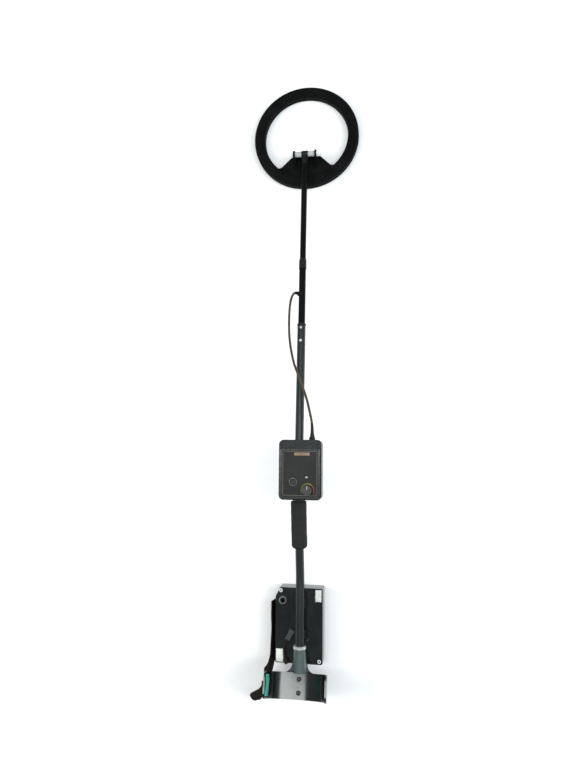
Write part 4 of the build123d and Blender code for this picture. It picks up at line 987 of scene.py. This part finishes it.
def screw_cross(name, centre, normal, arm):
    """The cross recess of a screw head, as a thin inlay on its face that is dark with painted shade."""
    normal = Vector(normal).normalized()
    side = normal.orthogonal().normalized()
    other = normal.cross(side)
    width = RECESS_HALF
    outline = [
        (width, width), (width, arm), (-width, arm), (-width, width), (-arm, width), (-arm, -width),
        (-width, -width), (-width, -arm), (width, -arm), (width, -width), (arm, -width), (arm, width),
    ]
    verts = []
    for height in (-RECESS_DEPTH, RECESS_DEPTH):
        verts += [Vector(centre) + side * a + other * b + normal * height for a, b in outline]
    faces = [tuple(range(12))[::-1], tuple(range(12, 24))]
    faces += [(k, (k + 1) % 12, 12 + (k + 1) % 12, 12 + k) for k in range(12)]
    return attach(paint(add_mesh(name, verts, faces, smooth=False), "recess"))


# Painted shade: a screw's cross recess is drawn as a flat dark inlay, not as a hollow.
LOOKS["recess"] = solid("screw_recess_painted_shade", (0.05, 0.05, 0.048), 0.7, dust=0.2)
lid_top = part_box("rear_box_lid")[1].z
REAR_SCREWS = ((-0.0425, 0.066), (0.037, 0.0655), (-0.047, -0.0695), (0.037, -0.0695))
for k, (x, y) in enumerate(REAR_SCREWS):
    screw_cross(f"rear_screw_recess_{k}", (x, y, lid_top), (0, 0, 1), 0.0023)
screw_top = cuff_origin + cuff_up * 0.0061
for k, along in enumerate((-0.012, 0.012)):
    centre = screw_top + cuff_forward * along
    screw_cross(f"cuff_screw_recess_{k}", centre, cuff_up, 0.0026)

# ---------------------------------------------------------------- floor and light
LOOKS["floor"] = solid("pale_floor", (0.90, 0.90, 0.90), 0.85, grain=60, grain_depth=0.0002, mottle=0.01)
FLOOR_HALF, FLOOR_Z = 8, -0.0006
floor_corners = [(FLOOR_HALF * x, FLOOR_HALF * y, FLOOR_Z) for x, y in ((-1, -1), (1, -1), (1, 1), (-1, 1))]
floor = add_mesh("floor", floor_corners, [(0, 1, 2, 3)])
paint(floor, "floor")

world = bpy.data.worlds.new("studio")
world.use_nodes = True
world.node_tree.nodes["Background"].inputs["Color"].default_value = (0.92, 0.96, 1.0, 1)
world.node_tree.nodes["Background"].inputs["Strength"].default_value = 0.28
scene.world = world


def soft_light(name, location, aim, width, length, power, colour, mirrored=True):
    """A rectangular light. Where it isn't mirrored, shiny surfaces don't show it."""
    data = bpy.data.lights.new(name, "AREA")
    data.shape = "RECTANGLE"
    data.size, data.size_y = width, length
    data.energy = power
    data.color = colour
    light = bpy.data.objects.new(name, data)
    light.location = location
    light.rotation_euler = (Vector(aim) - Vector(location)).to_track_quat("-Z", "Y").to_euler()
    light.visible_glossy = mirrored
    scene.collection.objects.link(light)


soft_light("overhead_strip", (0.52, 0.45, 2.5), (0, 0.45, 0), 0.45, 3.4, 42, (0.95, 1.0, 0.99))
soft_light("right_side", (2.3, 0.5, 1.5), (0, 0.45, 0), 1.4, 2.4, 52, (0.90, 0.95, 1.0), mirrored=False)
soft_light("left_side", (-2.3, 0.5, 1.6), (0, 0.45, 0), 1.4, 2.4, 52, (1.0, 0.98, 0.95), mirrored=False)
soft_light("front_window", (-0.28, 1.5, 2.2), (0, 0.4, 0.1), 0.9, 0.7, 5, (0.84, 0.93, 1.0))

scene.view_settings.view_transform = "Standard"
